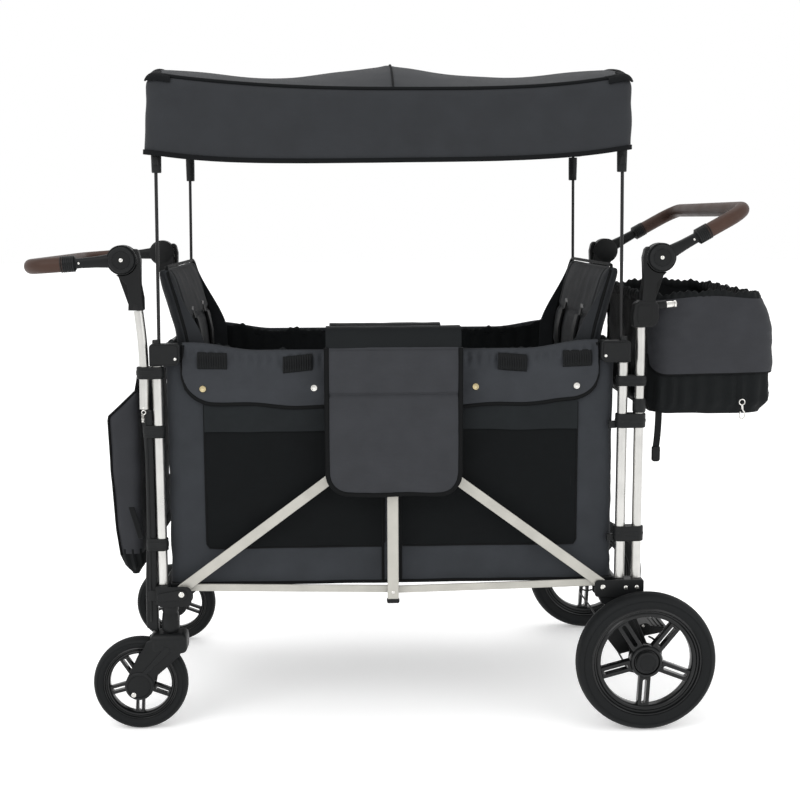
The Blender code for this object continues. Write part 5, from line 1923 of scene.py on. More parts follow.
    def _peg(self, name: str, out: int) -> None:
        """Silver bag peg and the pin tips of the housing.

        Args:
            name: left or right.
            out: 1 or -1, the way out along Y.
        """
        start = Vector((0.5800, out * 0.2860, 0.9170))
        along = Vector((1.0, 0, 0.10)).normalized()
        profile = [
            (0.0, 0.0), (0.0072, 0.0), (0.0072, 0.0235), (0.0064, 0.0245), (0.0064, 0.0265), (0.0078, 0.0275)
        ]
        profile += [(0.0078, 0.0315), (0.0066, 0.0328), (0.0, 0.0330)]
        peg = Bench.turned("peg", profile, start, along, 28)
        tips = [
            Bench.rod(
                "tip", (0.5360, out * (D.post_y - 0.004), z), (0.5360, out * (D.post_y + 0.0172), z), 0.0024,
                16
            )
            for z in (0.8850, 0.9140)
        ]
        Bench.dress(Bench.join(f"bag_peg_{name}", [peg, *tips]), Finishes.CHROME, "rear_frame")


# ---------------------------------------------------------------- brake
@dataclass
class Brake:
    """Foot pedal with its tread pads, and the cable between the rear wheels."""

    pivot: tuple[float, float] = (0.550, 0.1965)
    loop: float = 0.043
    cable: float = 0.0022

    def build(self) -> None:
        """Make the pedal and the cable."""
        x, z = self.pivot
        outline = [
            (x - 0.012, z - 0.006), (x - 0.004, z - 0.0115), (x + 0.012, z - 0.0115), (x + 0.058, z - 0.003)
        ]
        outline += [
            (x + 0.062, z + 0.003), (x + 0.059, z + 0.0075), (x + 0.012, z + 0.0115), (x - 0.007, z + 0.0105)
        ]
        pedal = Bench.plate("pedal", outline, "XZ", -0.2938, -0.2242, 0.0022, 3)
        pads = [
            Bench.block(
                "pad", (x + reach, -0.288, z + 0.0085), (x + reach + 0.0045, -0.230, z + 0.0112), 0.0008
            )
            for reach in (0.018, 0.028, 0.038, 0.048)
        ]
        lever = Bench.plate(
            "lever", capsule((x, z), (x + 0.010, z + 0.006), 0.0150, 0.0120), "XZ", -0.2965, -0.2930, 0.0010
        )
        Bench.dress(
            Bench.join("brake_pedal_pad", [pedal, lever, *pads]), Finishes.PLASTIC, "brake", "brake_pedal"
        )
        screw = dome_screw("pedal_screw", (x + 0.004, -0.2962, z + 0.012), -1, 0.0036, 0.0018)
        Bench.dress(screw, Finishes.CHROME, "brake")
        wheel_x, wheel_z, loop_y = 0.546, 0.1525, 0.3225
        arc = []
        for step in range(13):
            turn = math.radians(70 - 185 * step / 12)
            arc.append((wheel_x + self.loop * math.cos(turn), -loop_y, wheel_z + self.loop * math.sin(turn)))
        run_x, run_z = arc[-1][0], arc[-1][2]
        half = arc + [
            (run_x - 0.005, -loop_y + 0.020, run_z - 0.004), (run_x - 0.007, -loop_y + 0.060, run_z)
        ]
        half += [(run_x - 0.008, -share * D.post_y, run_z + 0.006) for share in (0.53, 0.17)]
        route = half + [(px, -py, pz) for px, py, pz in reversed(half)]
        cable = Bench.tube("brake_cable_sheath", Bench.smooth_path(route, 5), self.cable, 12)
        Bench.dress(cable, Finishes.CABLE, "rear_frame", "brake_cable")


# ---------------------------------------------------------------- soft goods
def smooth_step(low: float, high: float, value: float) -> float:
    """0 below low, 1 above high, smooth between."""
    share = min(max((value - low) / (high - low), 0.0), 1.0)
    return share * share * (3 - 2 * share)


def bump(value: float, centre: float, width: float) -> float:
    """A smooth bump of height 1 at the centre."""
    return math.exp(-(((value - centre) / width) ** 2))


def folds(point: Vector, size: float, seed: float) -> float:
    """Smooth noise from -1 to 1 at a point."""
    return noise.noise(point / size + Vector((seed, -seed * 0.7, seed * 1.3)))


def loop_point(half_x: float, half_y: float, corner: float, share: float) -> tuple[Vector, Vector]:
    """Point on a rounded rectangle and its outward direction.

    Args:
        half_x: Half its length.
        half_y: Half its width.
        corner: Radius of its corners.
        share: Share of the way round, from the middle of the -Y side towards +X.

    Returns:
        The point and the outward unit vector, both level.
    """
    flat_x, flat_y = half_x - corner, half_y - corner
    arc = math.pi * corner / 2
    total = 4 * (flat_x + flat_y + arc)
    way = (share % 1.0) * total
    runs = (
        (flat_x, Vector((0, -half_y, 0)), Vector((1, 0, 0)), None), (arc, None, None, (flat_x, -flat_y, -90)),
        (2 * flat_y, Vector((half_x, -flat_y, 0)), Vector((0, 1, 0)), None),
        (arc, None, None, (flat_x, flat_y, 0)),
        (2 * flat_x, Vector((flat_x, half_y, 0)), Vector((-1, 0, 0)), None),
        (arc, None, None, (-flat_x, flat_y, 90)),
        (2 * flat_y, Vector((-half_x, flat_y, 0)), Vector((0, -1, 0)), None),
        (arc, None, None, (-flat_x, -flat_y, 180)),
        (flat_x, Vector((-flat_x, -half_y, 0)), Vector((1, 0, 0)), None),
    )
    for length, start, step, bend in runs:
        if way <= length:
            if bend is None:
                return start + step * way, Vector((step.y, -step.x, 0))
            turn = math.radians(bend[2] + 90 * way / arc)
            out = Vector((math.cos(turn), math.sin(turn), 0))
            return Vector((bend[0], bend[1], 0)) + out * corner, out
        way -= length
    return Vector((0, -half_y, 0)), Vector((0, -1, 0))


def strip(
    name: str, path: Sequence[Point], widths: Point, facing: Callable[[int], Vector], wall: float
) -> Solid:
    """Flat webbing along a path.

    Args:
        name: Name of the piece.
        path: Its centreline.
        widths: Its width at the start and the end.
        facing: Gives the direction across the webbing at each point.
        wall: Its thickness.

    Returns:
        The webbing.
    """
    spans = len(path) - 1

    def shape(u: float, v: float) -> Vector:
        """Point on the webbing.

        Args:
            u: Share along the piece, 0 to 1.
            v: Share across the piece, 0 to 1.

        Returns:
            The point, in the wagon's own axes.
        """
        place = min(v * spans, spans - 1e-6)
        index = int(place)
        here = Vector(path[index]).lerp(Vector(path[index + 1]), place - index)
        width = widths[0] + (widths[1] - widths[0]) * v
        return here + facing(index) * (u - 0.5) * width

    piece = Bench.skin(name, shape, 6, spans, wall)
    return Bench.bevel(piece, wall * 0.3, 1)


@dataclass
class Pad:
    """A stuffed panel: base shape swelled by simulation; its users press channels in."""

    name: str
    fill: float = 0.55
    swell: float = 0.008
    voxel: float = 0.009
    pressure: float = 4.0

    def stuff(self, base: Solid) -> Solid:
        """Swell a closed base shape as stuffing does.

        Args:
            base: The closed shape, slightly smaller than the pad.

        Returns:
            The pad, one subdivision finer.
        """
        base.name = self.name
        Bench.modify(base, "REMESH", mode="VOXEL", voxel_size=self.voxel)
        start = Bench.coords(base).copy()
        Bench.pick(base)
        cloth = base.modifiers.new("cloth", "CLOTH")
        cloth.settings.use_pressure = True
        cloth.settings.uniform_pressure_force = self.pressure
        cloth.settings.effector_weights.gravity = 0
        cloth.settings.quality = 4
        scene = bpy.context.scene
        for number in range(1, 21):
            scene.frame_set(number)
        bpy.ops.object.modifier_apply(modifier="cloth")
        scene.frame_set(1)
        move = Bench.coords(base) - start
        reach = np.linalg.norm(move, axis=1, keepdims=True)
        capped = start + move * np.minimum(1.0, self.swell / np.maximum(reach, 1e-9))
        Bench.put(base, capped.tolist())
        Bench.modify(base, "SMOOTH", factor=0.5, iterations=3)
        return Bench.subdivide(base)


@dataclass
class Tub:
    """The soft tub: walls, net windows, padded covers, gathered rim, piping, loops and snaps."""

    half_x: float = 0.4820
    half_y: float = 0.2835
    corner: float = 0.022
    low: float = 0.3165
    rim: float = 0.8430
    wall: float = 0.0036
    cover_low: float = 0.7200
    cover_ends: tuple[float, float] = (-0.4440, 0.4440)
    window_low: float = 0.3960
    window_high: float = 0.7180
    windows: tuple = ((-0.4020, -0.0170), (0.0190, 0.4020))
    keep: float = 0.478
    trim_keep: float = 0.452
    slack: float = 0.0170

    def build(self) -> None:
        """Make every piece of the tub."""
        self.pieces: list[Solid] = []
        self._walls()
        for name, out in SIDES.items():
            self._windows(name, out)
            self._cover(name, out)
            self._loops(name, out)
        self._rim()
        self._hem()
        for piece in self.pieces:
            D.at(-self.half_x, 0, 0.58)
            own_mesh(piece)

    def _add(self, piece: Solid, finish: Finish, *nodes: str, slot: str | None = None) -> Solid:
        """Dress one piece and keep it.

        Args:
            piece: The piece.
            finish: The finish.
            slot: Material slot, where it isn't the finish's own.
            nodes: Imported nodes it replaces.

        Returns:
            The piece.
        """
        Bench.dress(piece, finish, "front_frame", *nodes, slot=slot)
        self.pieces.append(piece)
        return piece

    def _level(self, x: float) -> float:
        """Height of the rim along the side: pulled up at the corners, slack between them."""
        return self.rim - self.slack * (1 - smooth_step(0.285, 0.425, abs(x)))

    def _drape(self, x: float, z: float) -> float:
        """How far the side cloth stands in from its straight line, at a length and a height.

        Args:
            x: Place along the wagon.
            z: Height above the floor.

        Returns:
            The distance in metres.
        """
        sag = 0.0030 * (1 - (x / self.half_x) ** 2) * math.sin(
            math.pi * (z - self.low) / (self.rim - self.low)
        )
        band = 0.0034 * folds(Vector((x * 0.8 + z * 0.3, 0.0, z * 1.4 - x * 0.2)), 0.055, 3.1)
        hem = 0.0042 * bump(z, 0.356, 0.030) * folds(Vector((x, 0.0, z * 0.6)), 0.045, 9.4)
        return sag + band + hem

    def _walls(self) -> None:
        """One continuous wall round the tub."""

        def shape(u: float, v: float) -> Vector:
            """Point on the wall.

            Args:
                u: Share along the piece, 0 to 1.
                v: Share across the piece, 0 to 1.

            Returns:
                The point, in the wagon's own axes.
            """
            here, out = loop_point(self.half_x, self.half_y, self.corner, u)
            z = self.low + (self._level(here.x) - 0.008 - self.low) * v
            depth = self._drape(here.x if abs(out.y) > 0.5 else here.y, z)
            return here - out * (depth if abs(out.y) > 0.5 else 0.6 * depth) + Vector((0, 0, z))

        wall = Bench.skin("tub_wall", shape, 360, 66, self.wall, wrap=True)
        self._add(wall, Finishes.PANEL, "tub_front", "tub_rear")

    def _windows(self, name: str, out: int) -> None:
        """Two net windows a side, each with its binding, stitch line and vertical piping.

        Args:
            name: left or right.
            out: 1 or -1, the way out along Y.
        """
        nets, bindings, stitches = [], [], []
        for start, end in self.windows:
            radius = 0.008
            mid_x, mid_z = (start + end) / 2, (self.window_low + self.window_high) / 2
            half_x, half_z = (end - start) / 2, (self.window_high - self.window_low) / 2

            def shape(u: float, v: float) -> Vector:
                """Point on the net, with round corners.

                Args:
                    u: Share along the piece, 0 to 1.
                    v: Share across the piece, 0 to 1.

                Returns:
                    The point, in the wagon's own axes.
                """
                a, b = 2 * u - 1, 2 * v - 1
                pull = radius * 0.29
                x = mid_x + a * (half_x - pull * b ** 12)
                z = mid_z + b * (half_z - pull * a ** 12)
                ripple = 0.0010 * folds(Vector((x, 0, z)), 0.030, 6.2)
                return Vector((x, out * (self.half_y + 0.0004 - self._drape(x, z) + ripple), z))

            nets.append(Bench.skin("net", shape, 54, 48, self.wall + 0.0034))
            for inset, radius_share, keep in ((0.0, 0.0022, bindings), (0.012, 0.0006, stitches)):
                loop = []
                for step in range(120):
                    point, _ = loop_point(half_x - inset, half_z - inset, radius - inset * 0.4, step / 120)
                    x, z = mid_x + point.x, mid_z + point.y
                    loop.append((x, out * (self.half_y + self.wall / 2 + 0.0012 - self._drape(x, z)), z))
                keep.append(Bench.tube("binding", loop, radius_share, 8, closed=True))
        self._add(Bench.join(f"window_net_{name}", nets), Finishes.NET)
        backing = []
        for start, end in self.windows:

            def facing(u: float, v: float, start: float = start, end: float = end) -> Vector:
                """Point on the doubled net along a window's top.

                Args:
                    u: Share along the piece, 0 to 1.
                    v: Share across the piece, 0 to 1.
                    start: Where the window begins.
                    end: Where the window ends.

                Returns:
                    The point, in the wagon's own axes.
                """
                x, z = start + (end - start) * u, 0.6520 + (self.window_high - 0.6520) * v
                z += 0.0030 * folds(Vector((x, 0, 0)), 0.10, 1.0) * (1 - v)
                return Vector((
                    x,
                    out * (
                        self.half_y + 0.0066 - self._drape(x, z)
                        + 0.0008 * folds(Vector((x, 0, z)), 0.03, 6.2)
                    ),
                    z
                ))

            backing.append(Bench.skin("backing", facing, 54, 12, 0.0010))
        self._add(Bench.join(f"window_band_{name}", backing), Finishes.BAND)
        self._add(Bench.join(f"window_binding_{name}", bindings), Finishes.PIPING)
        self._add(Bench.join(f"window_stitch_{name}", stitches), Finishes.WEBBING)
        cords = []
        for x in (-0.0205, 0.0185):
            heights = np.linspace(self.low + 0.004, 0.728, 24)
            cord = [(x, out * (self.half_y + 0.0024 - self._drape(x, z)), float(z)) for z in heights]
            cords.append(Bench.tube("cord", cord, 0.0030, 10))
        self._add(Bench.join(f"panel_piping_{name}", cords), Finishes.PIPING)

    def _cover_edge(self, x: float) -> float:
        """Height of the cover's lower edge, round at its two ends and slack between the snaps.

        Args:
            x: Place along the wagon.

        Returns:
            The height in metres.
        """
        left, right = self.cover_ends
        radius = 0.060
        near = max(left + radius - x, x - (right - radius), 0.0) / radius
        lift = radius * (1 - math.sqrt(max(0.0, 1 - min(near, 1.0) ** 2)))
        slack = 0.0180 * (1 - (abs(x) / 0.444) ** 2) - 0.0022 * math.sin(x * 2 * math.pi / 0.170)
        return self.cover_low + lift * 0.80 - slack

    def _cover(self, name: str, out: int) -> None:
        """Padded cover that hangs outside the wall, with its piping and snaps.

        Args:
            name: left or right.
            out: 1 or -1, the way out along Y.
        """
        left, right = self.cover_ends
        span = right - left

        def shape(u: float, v: float) -> Vector:
            """Point on the cover, from its lower edge over the rim to the inside.

            Args:
                u: Share along the piece, 0 to 1.
                v: Share across the piece, 0 to 1.

            Returns:
                The point, in the wagon's own axes.
            """
            x = left + span * u
            low = self._cover_edge(x)
            if v < 0.86:
                share = v / 0.86
                top = self._level(x) - 0.005
                z = low + (top - low) * share
                puff = 0.0062 * math.sin(math.pi * min(share, 1.0) ** 0.8) ** 0.7
                pleat = 0.0024 * bump(z, top - 0.014, 0.014) * math.sin(
                    x * 2 * math.pi / 0.021 + 2 * folds(Vector((x, 0, 0)), 0.05, 1.0)
                )
                ease = 0.0042 * folds(Vector((x * 0.8, 0.0, z * 1.3 + x * 0.2)), 0.055, 4.7 + out)
                ease += 0.0016 * folds(Vector((x, 0.0, z * 1.6)), 0.022, 1.9)
                return Vector(
                    (x, out * (self.half_y + 0.0048 + puff + pleat + ease * math.sin(math.pi * share)), z)
                )
            share = (v - 0.86) / 0.14
            turn = math.pi * share
            return Vector((
                x, out * (self.half_y + 0.0006 + 0.0042 * math.cos(turn)),
                self._level(x) - 0.005 + 0.0045 * math.sin(turn)
            ))

        cover = Bench.skin(f"tub_cover_{name}", shape, 220, 40, 0.0042)
        self._add(cover, Finishes.COVER)
        edge = []
        for step in range(141):
            x = left + span * step / 140
            edge.append((x, out * (self.half_y + 0.0058), self._cover_edge(x)))
        start, end = edge[0], edge[-1]
        path = [(start[0], start[1], self.rim - 0.004), (start[0], start[1], start[2] + 0.02)] + edge
        path += [(end[0], end[1], end[2] + 0.02), (end[0], end[1], self.rim - 0.004)]
        self._add(Bench.tube(f"cover_piping_{name}", path, 0.0050, 12), Finishes.PIPING)
        for label, finish, places in (
            ("brass", Finishes.BRASS, (-0.402, 0.180)), ("nickel", Finishes.CHROME, (-0.166, 0.398)),
        ):
            snaps = []
            for x in places:
                face = self.half_y + 0.0138
                ring = [(0.0, 0.0), (0.0072, 0.0), (0.0076, 0.0012), (0.0066, 0.0026), (0.0050, 0.0028)]
                ring += [(0.0042, 0.0020), (0.0020, 0.0022), (0.0, 0.0024)]
                snaps.append(Bench.turned("snap", ring, (x, out * face, 0.7465), (0, out, 0), 28))
            self._add(Bench.join(f"snaps_{label}_{name}", snaps), finish, slot="silver_tube")

    def _loops(self, name: str, out: int) -> None:
        """Four webbing loops sewn along the top of the cover, ribbed, with folded ends.

        Args:
            name: left or right.
            out: 1 or -1, the way out along Y.
        """
        parts = []
        for x, z, lean in (
            (-0.381, 0.8050, -0.04), (-0.200, 0.7980, 0.10), (0.259, 0.7980, -0.08), (0.399, 0.8050, 0.03)
        ):

            def shape(u: float, v: float, x: float = x, z: float = z, lean: float = lean) -> Vector:
                """Point on one ribbed loop, bellied out and sewn flat at its edges.

                Args:
                    u: Share along the piece, 0 to 1.
                    v: Share across the piece, 0 to 1.
                    x: Place along the wagon.
                    z: Height above the floor.
                    lean: Lean of the loop.

                Returns:
                    The point, in the wagon's own axes.
                """
                across, up = (u - 0.5) * 0.062, (v - 0.5) * 0.036
                belly = 0.0075 * math.sin(math.pi * v) ** 0.55 * (1.15 - 0.5 * v)
                rib = 0.0009 * math.sin(u * 2 * math.pi * 12) * math.sin(math.pi * v) ** 0.5
                return Vector(
                    (x + across, out * (self.half_y + 0.0102 + belly + rib), z + up + across * lean)
                )

            parts.append(Bench.skin("loop", shape, 96, 14, 0.0020))
        self._add(Bench.join(f"webbing_loops_{name}", parts), Finishes.WEBBING)

    def _rim(self) -> None:
        """Gathered elastic band along the inside of the rim."""
        count = 8

        def shape(u: float, v: float) -> Vector:
            """Point on the gathered band.

            Args:
                u: Share along the piece, 0 to 1.
                v: Share across the piece, 0 to 1.

            Returns:
                The point, in the wagon's own axes.
            """
            here, out = loop_point(self.half_x - 0.010, self.half_y - 0.0085, self.corner, u)
            turn = 2 * math.pi * v
            wave = math.sin(u * 2 * math.pi * 150) + 0.6 * math.sin(u * 2 * math.pi * 61 + 1.0)
            radius = 0.0085 + 0.0016 * wave * (0.6 + 0.4 * math.sin(turn))
            lift = 0.0030 * math.sin(u * 2 * math.pi * 23) + 0.0018 * math.sin(u * 2 * math.pi * 47)
            rise = self._level(here.x) - 0.0105 + lift + radius * 1.15 * math.sin(turn)
            return here + out * radius * math.cos(turn) * 0.80 + Vector((0, 0, rise))

        band = Bench.skin("gathered_rim", shape, 1100, count, wrap=True)
        self._add(band, Finishes.LINING)

        def skirt(u: float, v: float) -> Vector:
            """Point on the black lining just inside the walls.

            Args:
                u: Share along the piece, 0 to 1.
                v: Share across the piece, 0 to 1.

            Returns:
                The point, in the wagon's own axes.
            """
            here, out = loop_point(self.half_x - 0.010, self.half_y - 0.010, self.corner, u)
            z = self.rim - 0.300 + (self._level(here.x) - 0.006 - self.rim + 0.300) * v
            wave = 0.0026 * math.sin(u * 2 * math.pi * 75) * smooth_step(0.35, 1.0, v)
            ease = 0.004 * folds(Vector((here.x, here.y, z * 0.5)), 0.07, 2.2)
            return here - out * (wave + ease + 0.0035) + Vector((0, 0, z))

        lining = Bench.skin("tub_lining", skirt, 420, 24, 0.0016, wrap=True)
        self._add(lining, Finishes.LINING)

    def _hem(self) -> None:
        """Black piping along the lower edge."""
        points = []
        for step in range(240):
            here, out = loop_point(self.half_x, self.half_y, self.corner, step / 240)
            depth = self._drape(here.x if abs(out.y) > 0.5 else here.y, self.low)
            points.append(here - out * depth * 0.8 + Vector((0, 0, self.low)))
        self._add(Bench.tube("tub_hem_piping", points, 0.0042, 12, closed=True), Finishes.PIPING)


@dataclass
class SideFlap:
    """Padded flap folded over the side: black lip, charcoal field, seams and piping."""

    side: str
    half: float = 0.1425
    low: float = 0.5215
    high: float = 0.8755
    lip: float = 0.8350
    seam: float = 0.7350
    corner: float = 0.046
    face: float = 0.3362
    inside: float = 0.2645
    keep_inside: float = 0.8020

    def build(self) -> None:
        """Make the flap's pieces."""
        out = SIDES[self.side]
        node, body = f"side_flap_{self.side}", "side_flaps"
        field_piece = Bench.skin(
            f"flap_field_{self.side}", lambda u, v: self._field(u, v, out), 96, 120, 0.0052
        )
        Bench.dress(field_piece, Finishes.FLAP, body, node)
        lip = Bench.skin(f"flap_lip_{self.side}", lambda u, v: self._lip(u, v, out), 96, 48, 0.0052)
        Bench.dress(lip, Finishes.LINING, body, slot="flap_fabric")
        self._trim(out, body)

    def _edge(self, x: float) -> float:
        """Height of the lower edge, with round corners."""
        over = max(abs(x) - (self.half - self.corner), 0.0) / self.corner
        return self.low + self.corner * (1 - math.sqrt(max(0.0, 1 - min(over, 1.0) ** 2)))

    def _puff(self, x: float, z: float) -> float:
        """How far the padding stands out.

        Args:
            x: Place along the wagon.
            z: Height above the floor.

        Returns:
            The distance in metres.
        """
        across = max(0.0, 1 - (abs(x) / self.half) ** 6)
        groove = 0.0030 * bump(z, self.seam, 0.0042)
        if z > self.seam:
            rise = math.sin(math.pi * (z - self.seam) / (self.lip - self.seam))
            puff = 0.0052 * max(rise, 0.0) ** 0.6
        else:
            puff = 0.0064 * max(math.sin(math.pi * (z - self.low) / (self.seam - self.low)), 0.0) ** 0.5
        crease = 0.0020 * folds(Vector((x, 0, z)), 0.060, 8.3) + 0.0007 * folds(
            Vector((x, 0, z * 3)), 0.020, 2.1
        )
        return (puff + crease) * across - groove

    def _field(self, u: float, v: float, out: int) -> Vector:
        """Point on the charcoal field.

        Args:
            u: Share along the piece, 0 to 1.
            v: Share across the piece, 0 to 1.
            out: 1 or -1, the way out along Y.

        Returns:
            The point, in the wagon's own axes.
        """
        x = (2 * u - 1) * self.half
        low = self._edge(x)
        z = low + (self.lip - low) * v
        return Vector((x + 0.003, out * (self.face + self._puff(x, z)), z))

    def _lip(self, u: float, v: float, out: int) -> Vector:
        """Point on the black lip, from the stitch line over the rim and down inside.

        Args:
            u: Share along the piece, 0 to 1.
            v: Share across the piece, 0 to 1.
            out: 1 or -1, the way out along Y.

        Returns:
            The point, in the wagon's own axes.
        """
        x = (2 * u - 1) * self.half
        flat, arc = min(0.018, self.high - self.lip - 0.020), 0.5
        mid, reach = (self.face + self.inside) / 2, (self.face - self.inside) / 2
        top = self.lip + flat
        if v < 0.14:
            y, z = self.face, self.lip + flat * v / 0.14
        elif v < 0.62:
            turn = math.pi * (v - 0.14) / 0.48
            y = mid + reach * math.copysign(abs(math.cos(turn)) ** arc, math.cos(turn))
            z = top + (self.high - top) * math.sin(turn) ** 0.7
        else:
            share = (v - 0.62) / 0.38
            y, z = self.inside, top + (self.keep_inside - top) * share
        crease = 0.0018 * folds(Vector((x, y, z)), 0.045, 5.5) * smooth_step(0.0, 0.1, v)
        return Vector((x + 0.003, out * (y + crease), z + crease * 0.6))

    def _trim(self, out: int, body: str) -> None:
        """Piping round the field and the two stitch lines.

        Args:
            out: 1 or -1, the way out along Y.
            body: Body it rides on.
        """
        edge = [(-self.half, self.lip)] + [(-self.half, self.lip - 0.02)]
        for step in range(97):
            x = (2 * step / 96 - 1) * self.half
            edge.append((x, self._edge(x)))
        edge += [(self.half, self.lip - 0.02), (self.half, self.lip)]
        edge[2] = (-self.half, self._edge(self.half * 0.999))
        path = [
            (x * 0.990 + 0.003, out * (self.face + 0.0010), z + 0.0012 * math.sin(x * 41)) for x, z in edge
        ]
        Bench.dress(
            Bench.tube(f"flap_piping_{self.side}", path, 0.0056, 12), Finishes.PIPING, body,
            slot="flap_fabric"
        )
        stitches = []
        for z in (self.lip - 0.004, self.seam + 0.0045):
            for step in range(48):
                x0 = -self.half + 0.008 + step * (2 * self.half - 0.016) / 48
                x1 = x0 + 0.0036
                points = [
                    (
                        x + 0.003, out * (self.face + 0.0032 + max(self._puff(x, z), -0.001)), z
                    ) for x in (x0, (x0 + x1) / 2, x1)
                ]
                stitches.append(Bench.tube("stitch", points, 0.00055, 6))
        Bench.dress(
            Bench.join(f"flap_stitches_{self.side}", stitches), Finishes.BAG, body, slot="flap_fabric"
        )


@dataclass
class Canopy:
    """Roof canopy: one sheet over two bent rods, with hem, rolled edge, lining and corner caps."""

    half_x: float = 0.5030
    half_y: float = 0.3290
    corner: float = 0.030
    hem: float = 1.2440
    edge_end: float = 1.4010
    edge_mid: float = 1.3700
    crown_end: float = 1.4330
    crown_mid: float = 1.4370
    dip: float = 0.0190
    shoulder: float = 0.026
    keep: float = 0.505
    roll_share: float = 0.54

    def build(self) -> None:
        """Make the canopy's pieces and its two bows."""
        self.pieces: list[Solid] = []
        sheet = Bench.skin("canopy_sheet", lambda u, v: self._skin(u, v, 0.0), 300, 56, wrap=True)
        Bench.tidy(sheet, 0.0006)
        Bench.modify(sheet, "SOLIDIFY", thickness=0.0022, offset=-1.0, use_even_offset=True)
        self._add(sheet, Finishes.CANOPY, "canopy_shell_front", "canopy_shell_rear")
        lining = Bench.skin("canopy_lining", lambda u, v: self._skin(u, v, 0.0046), 240, 48, wrap=True)
        Bench.tidy(lining, 0.0006)
        Bench.modify(lining, "SOLIDIFY", thickness=0.0012, offset=-1.0, use_even_offset=True)
        self._add(lining, Finishes.CANOPY_LINING)
        band = Bench.skin("canopy_hem", self._hem_band, 300, 5, 0.0022, wrap=True)
        self._add(band, Finishes.CANOPY_LINING)
        roll = [self._skin(step / 260, self.roll_share, -0.0012) for step in range(260)]
        self._add(Bench.tube("canopy_edge_roll", roll, 0.0040, 12, closed=True), Finishes.CANOPY_LINING)
        self._caps()
        self._seam()
        for piece in self.pieces:
            D.at(-self.half_x, 0, 1.3)
            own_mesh(piece)
        for end, sign in (("front", -1), ("rear", 1)):
            self._bow(end, sign)

    def _add(self, piece: Solid, finish: Finish, *nodes: str) -> Solid:
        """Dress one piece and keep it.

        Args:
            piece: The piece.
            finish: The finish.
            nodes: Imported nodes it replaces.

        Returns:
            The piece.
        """
        Bench.dress(piece, finish, "canopy_front", *nodes)
        self.pieces.append(piece)
        return piece

    def _roof(self, x: float, y: float) -> float:
        """Height of the roof at a place.

        Args:
            x: Place along the wagon.
            y: Place across the wagon.

        Returns:
            The height in metres.
        """
        share = min(abs(x) / self.half_x, 1.0)
        sag = math.sin(math.pi * share) ** 2
        edge = self.edge_mid + (self.edge_end - self.edge_mid) * share ** (2.2 if x < 0 else 3.4)
        crown = self.crown_mid + (self.crown_end - self.crown_mid) * share - self.dip * sag
        seam = 0.0030 * bump(x, 0.0, 0.014) + 0.0045 * bump(x, 0.0, 0.060)
        across = min(abs(y) / (self.half_y - self.shoulder), 1.0)
        fold_line = 0.0030 * folds(Vector((x, y * 0.5, 0)), 0.11, 12.0) * (1 - across ** 4)
        return edge + (crown + seam - edge) * (1 - across ** 2.3) + fold_line

    def _hem_level(self, place: Vector) -> float:
        """Height of the hem: slack along one long side, pulled up along the other.

        Args:
            place: Point on the outline.

        Returns:
            The height in metres.
        """
        share = min(abs(place.x) / self.half_x, 1.0)
        slack = self.hem - 0.0230 * (1 - share ** 4) + 0.0045 * place.x / self.half_x
        taut = self.hem + 0.0180
        return slack + (taut - slack) * smooth_step(-self.half_y, self.half_y * 0.6, place.y)

    def _skin(self, u: float, v: float, inset: float) -> Vector:
        """Point on the canopy: valance, shoulder, then roof towards its middle.

        Args:
            u: Share along the piece, 0 to 1.
            v: Share across the piece, 0 to 1.
            inset: Distance inside the cloth's face.

        Returns:
            The point, in the wagon's own axes.
        """
        here, out = loop_point(self.half_x - inset, self.half_y - inset, self.corner, u)
        inner = here - out * self.shoulder
        top = self._roof(inner.x, inner.y) - inset
        bend = top - 0.030
        if v < 0.40:
            share = v / 0.40
            hem = self._hem_level(here)
            z = hem + (bend - hem) * share
            slack = 0.0060 * folds(
                Vector((here.x, here.y, z * 0.9)), 0.150, 5.0
            ) * math.sin(math.pi * min(share + 0.15, 1.0))
            slack += 0.0032 * folds(
                Vector((here.x * 0.35, here.y * 0.35, z + here.x * 0.10)), 0.035, 2.2
            ) * math.sin(math.pi * share)
            pucker = 0.0022 * folds(
                Vector((here.x, here.y, z * 0.25)), 0.040, 7.0
            ) * (0.3 + 0.7 * (1 - share) ** 2)
            kick = 0.0075 * bump(
                (here - Vector((-self.half_x, -self.half_y, 0))).length, 0.0, 0.045
            ) * (1 - share) ** 2
            waist = -0.0012 * math.sin(math.pi * share)
            return here + out * (slack + pucker + kick + waist) + Vector((0, 0, z))
        if v < 0.60:
            turn = math.pi / 2 * (v - 0.40) / 0.20
            place = inner + out * self.shoulder * math.cos(turn) ** 0.85
            z = bend + (top - bend) * math.sin(turn) ** 0.85
            return place + Vector((0, 0, z))
        share = (v - 0.60) / 0.40
        place = inner * (1 - share)
        return Vector((place.x, place.y, self._roof(place.x, place.y) - inset))

    def _hem_band(self, u: float, v: float) -> Vector:
        """Point on the black binding of the hem."""
        place = self._skin(u, 0.022 * v, -0.0014)
        return place - Vector((0, 0, 0.0030 * (1 - v)))

    def _caps(self) -> None:
        """Rounded black caps where the bows end, one at each corner."""
        arcs = math.pi * self.corner / 2
        total = 4 * (self.half_x + self.half_y - 2 * self.corner + arcs)
        first = (self.half_x - self.corner) / total
        second = first + (arcs + 2 * (self.half_y - self.corner)) / total
        for number, start in enumerate((first, second, 0.5 + first, 0.5 + second)):
            middle = start + arcs / 2 / total
            cap = Bench.skin(
                f"canopy_corner_cap_{number}",
                lambda u, v,
                m=middle: self._skin(
                    m + (u - 0.5) * 0.030, 0.45 + 0.155 * v, -0.0022 - 0.0012 * math.sin(math.pi * u)
                ),
                20, 20, 0.0030,
            )
            self._add(Bench.bevel(cap, 0.0010, 2), Finishes.CANOPY_LINING)

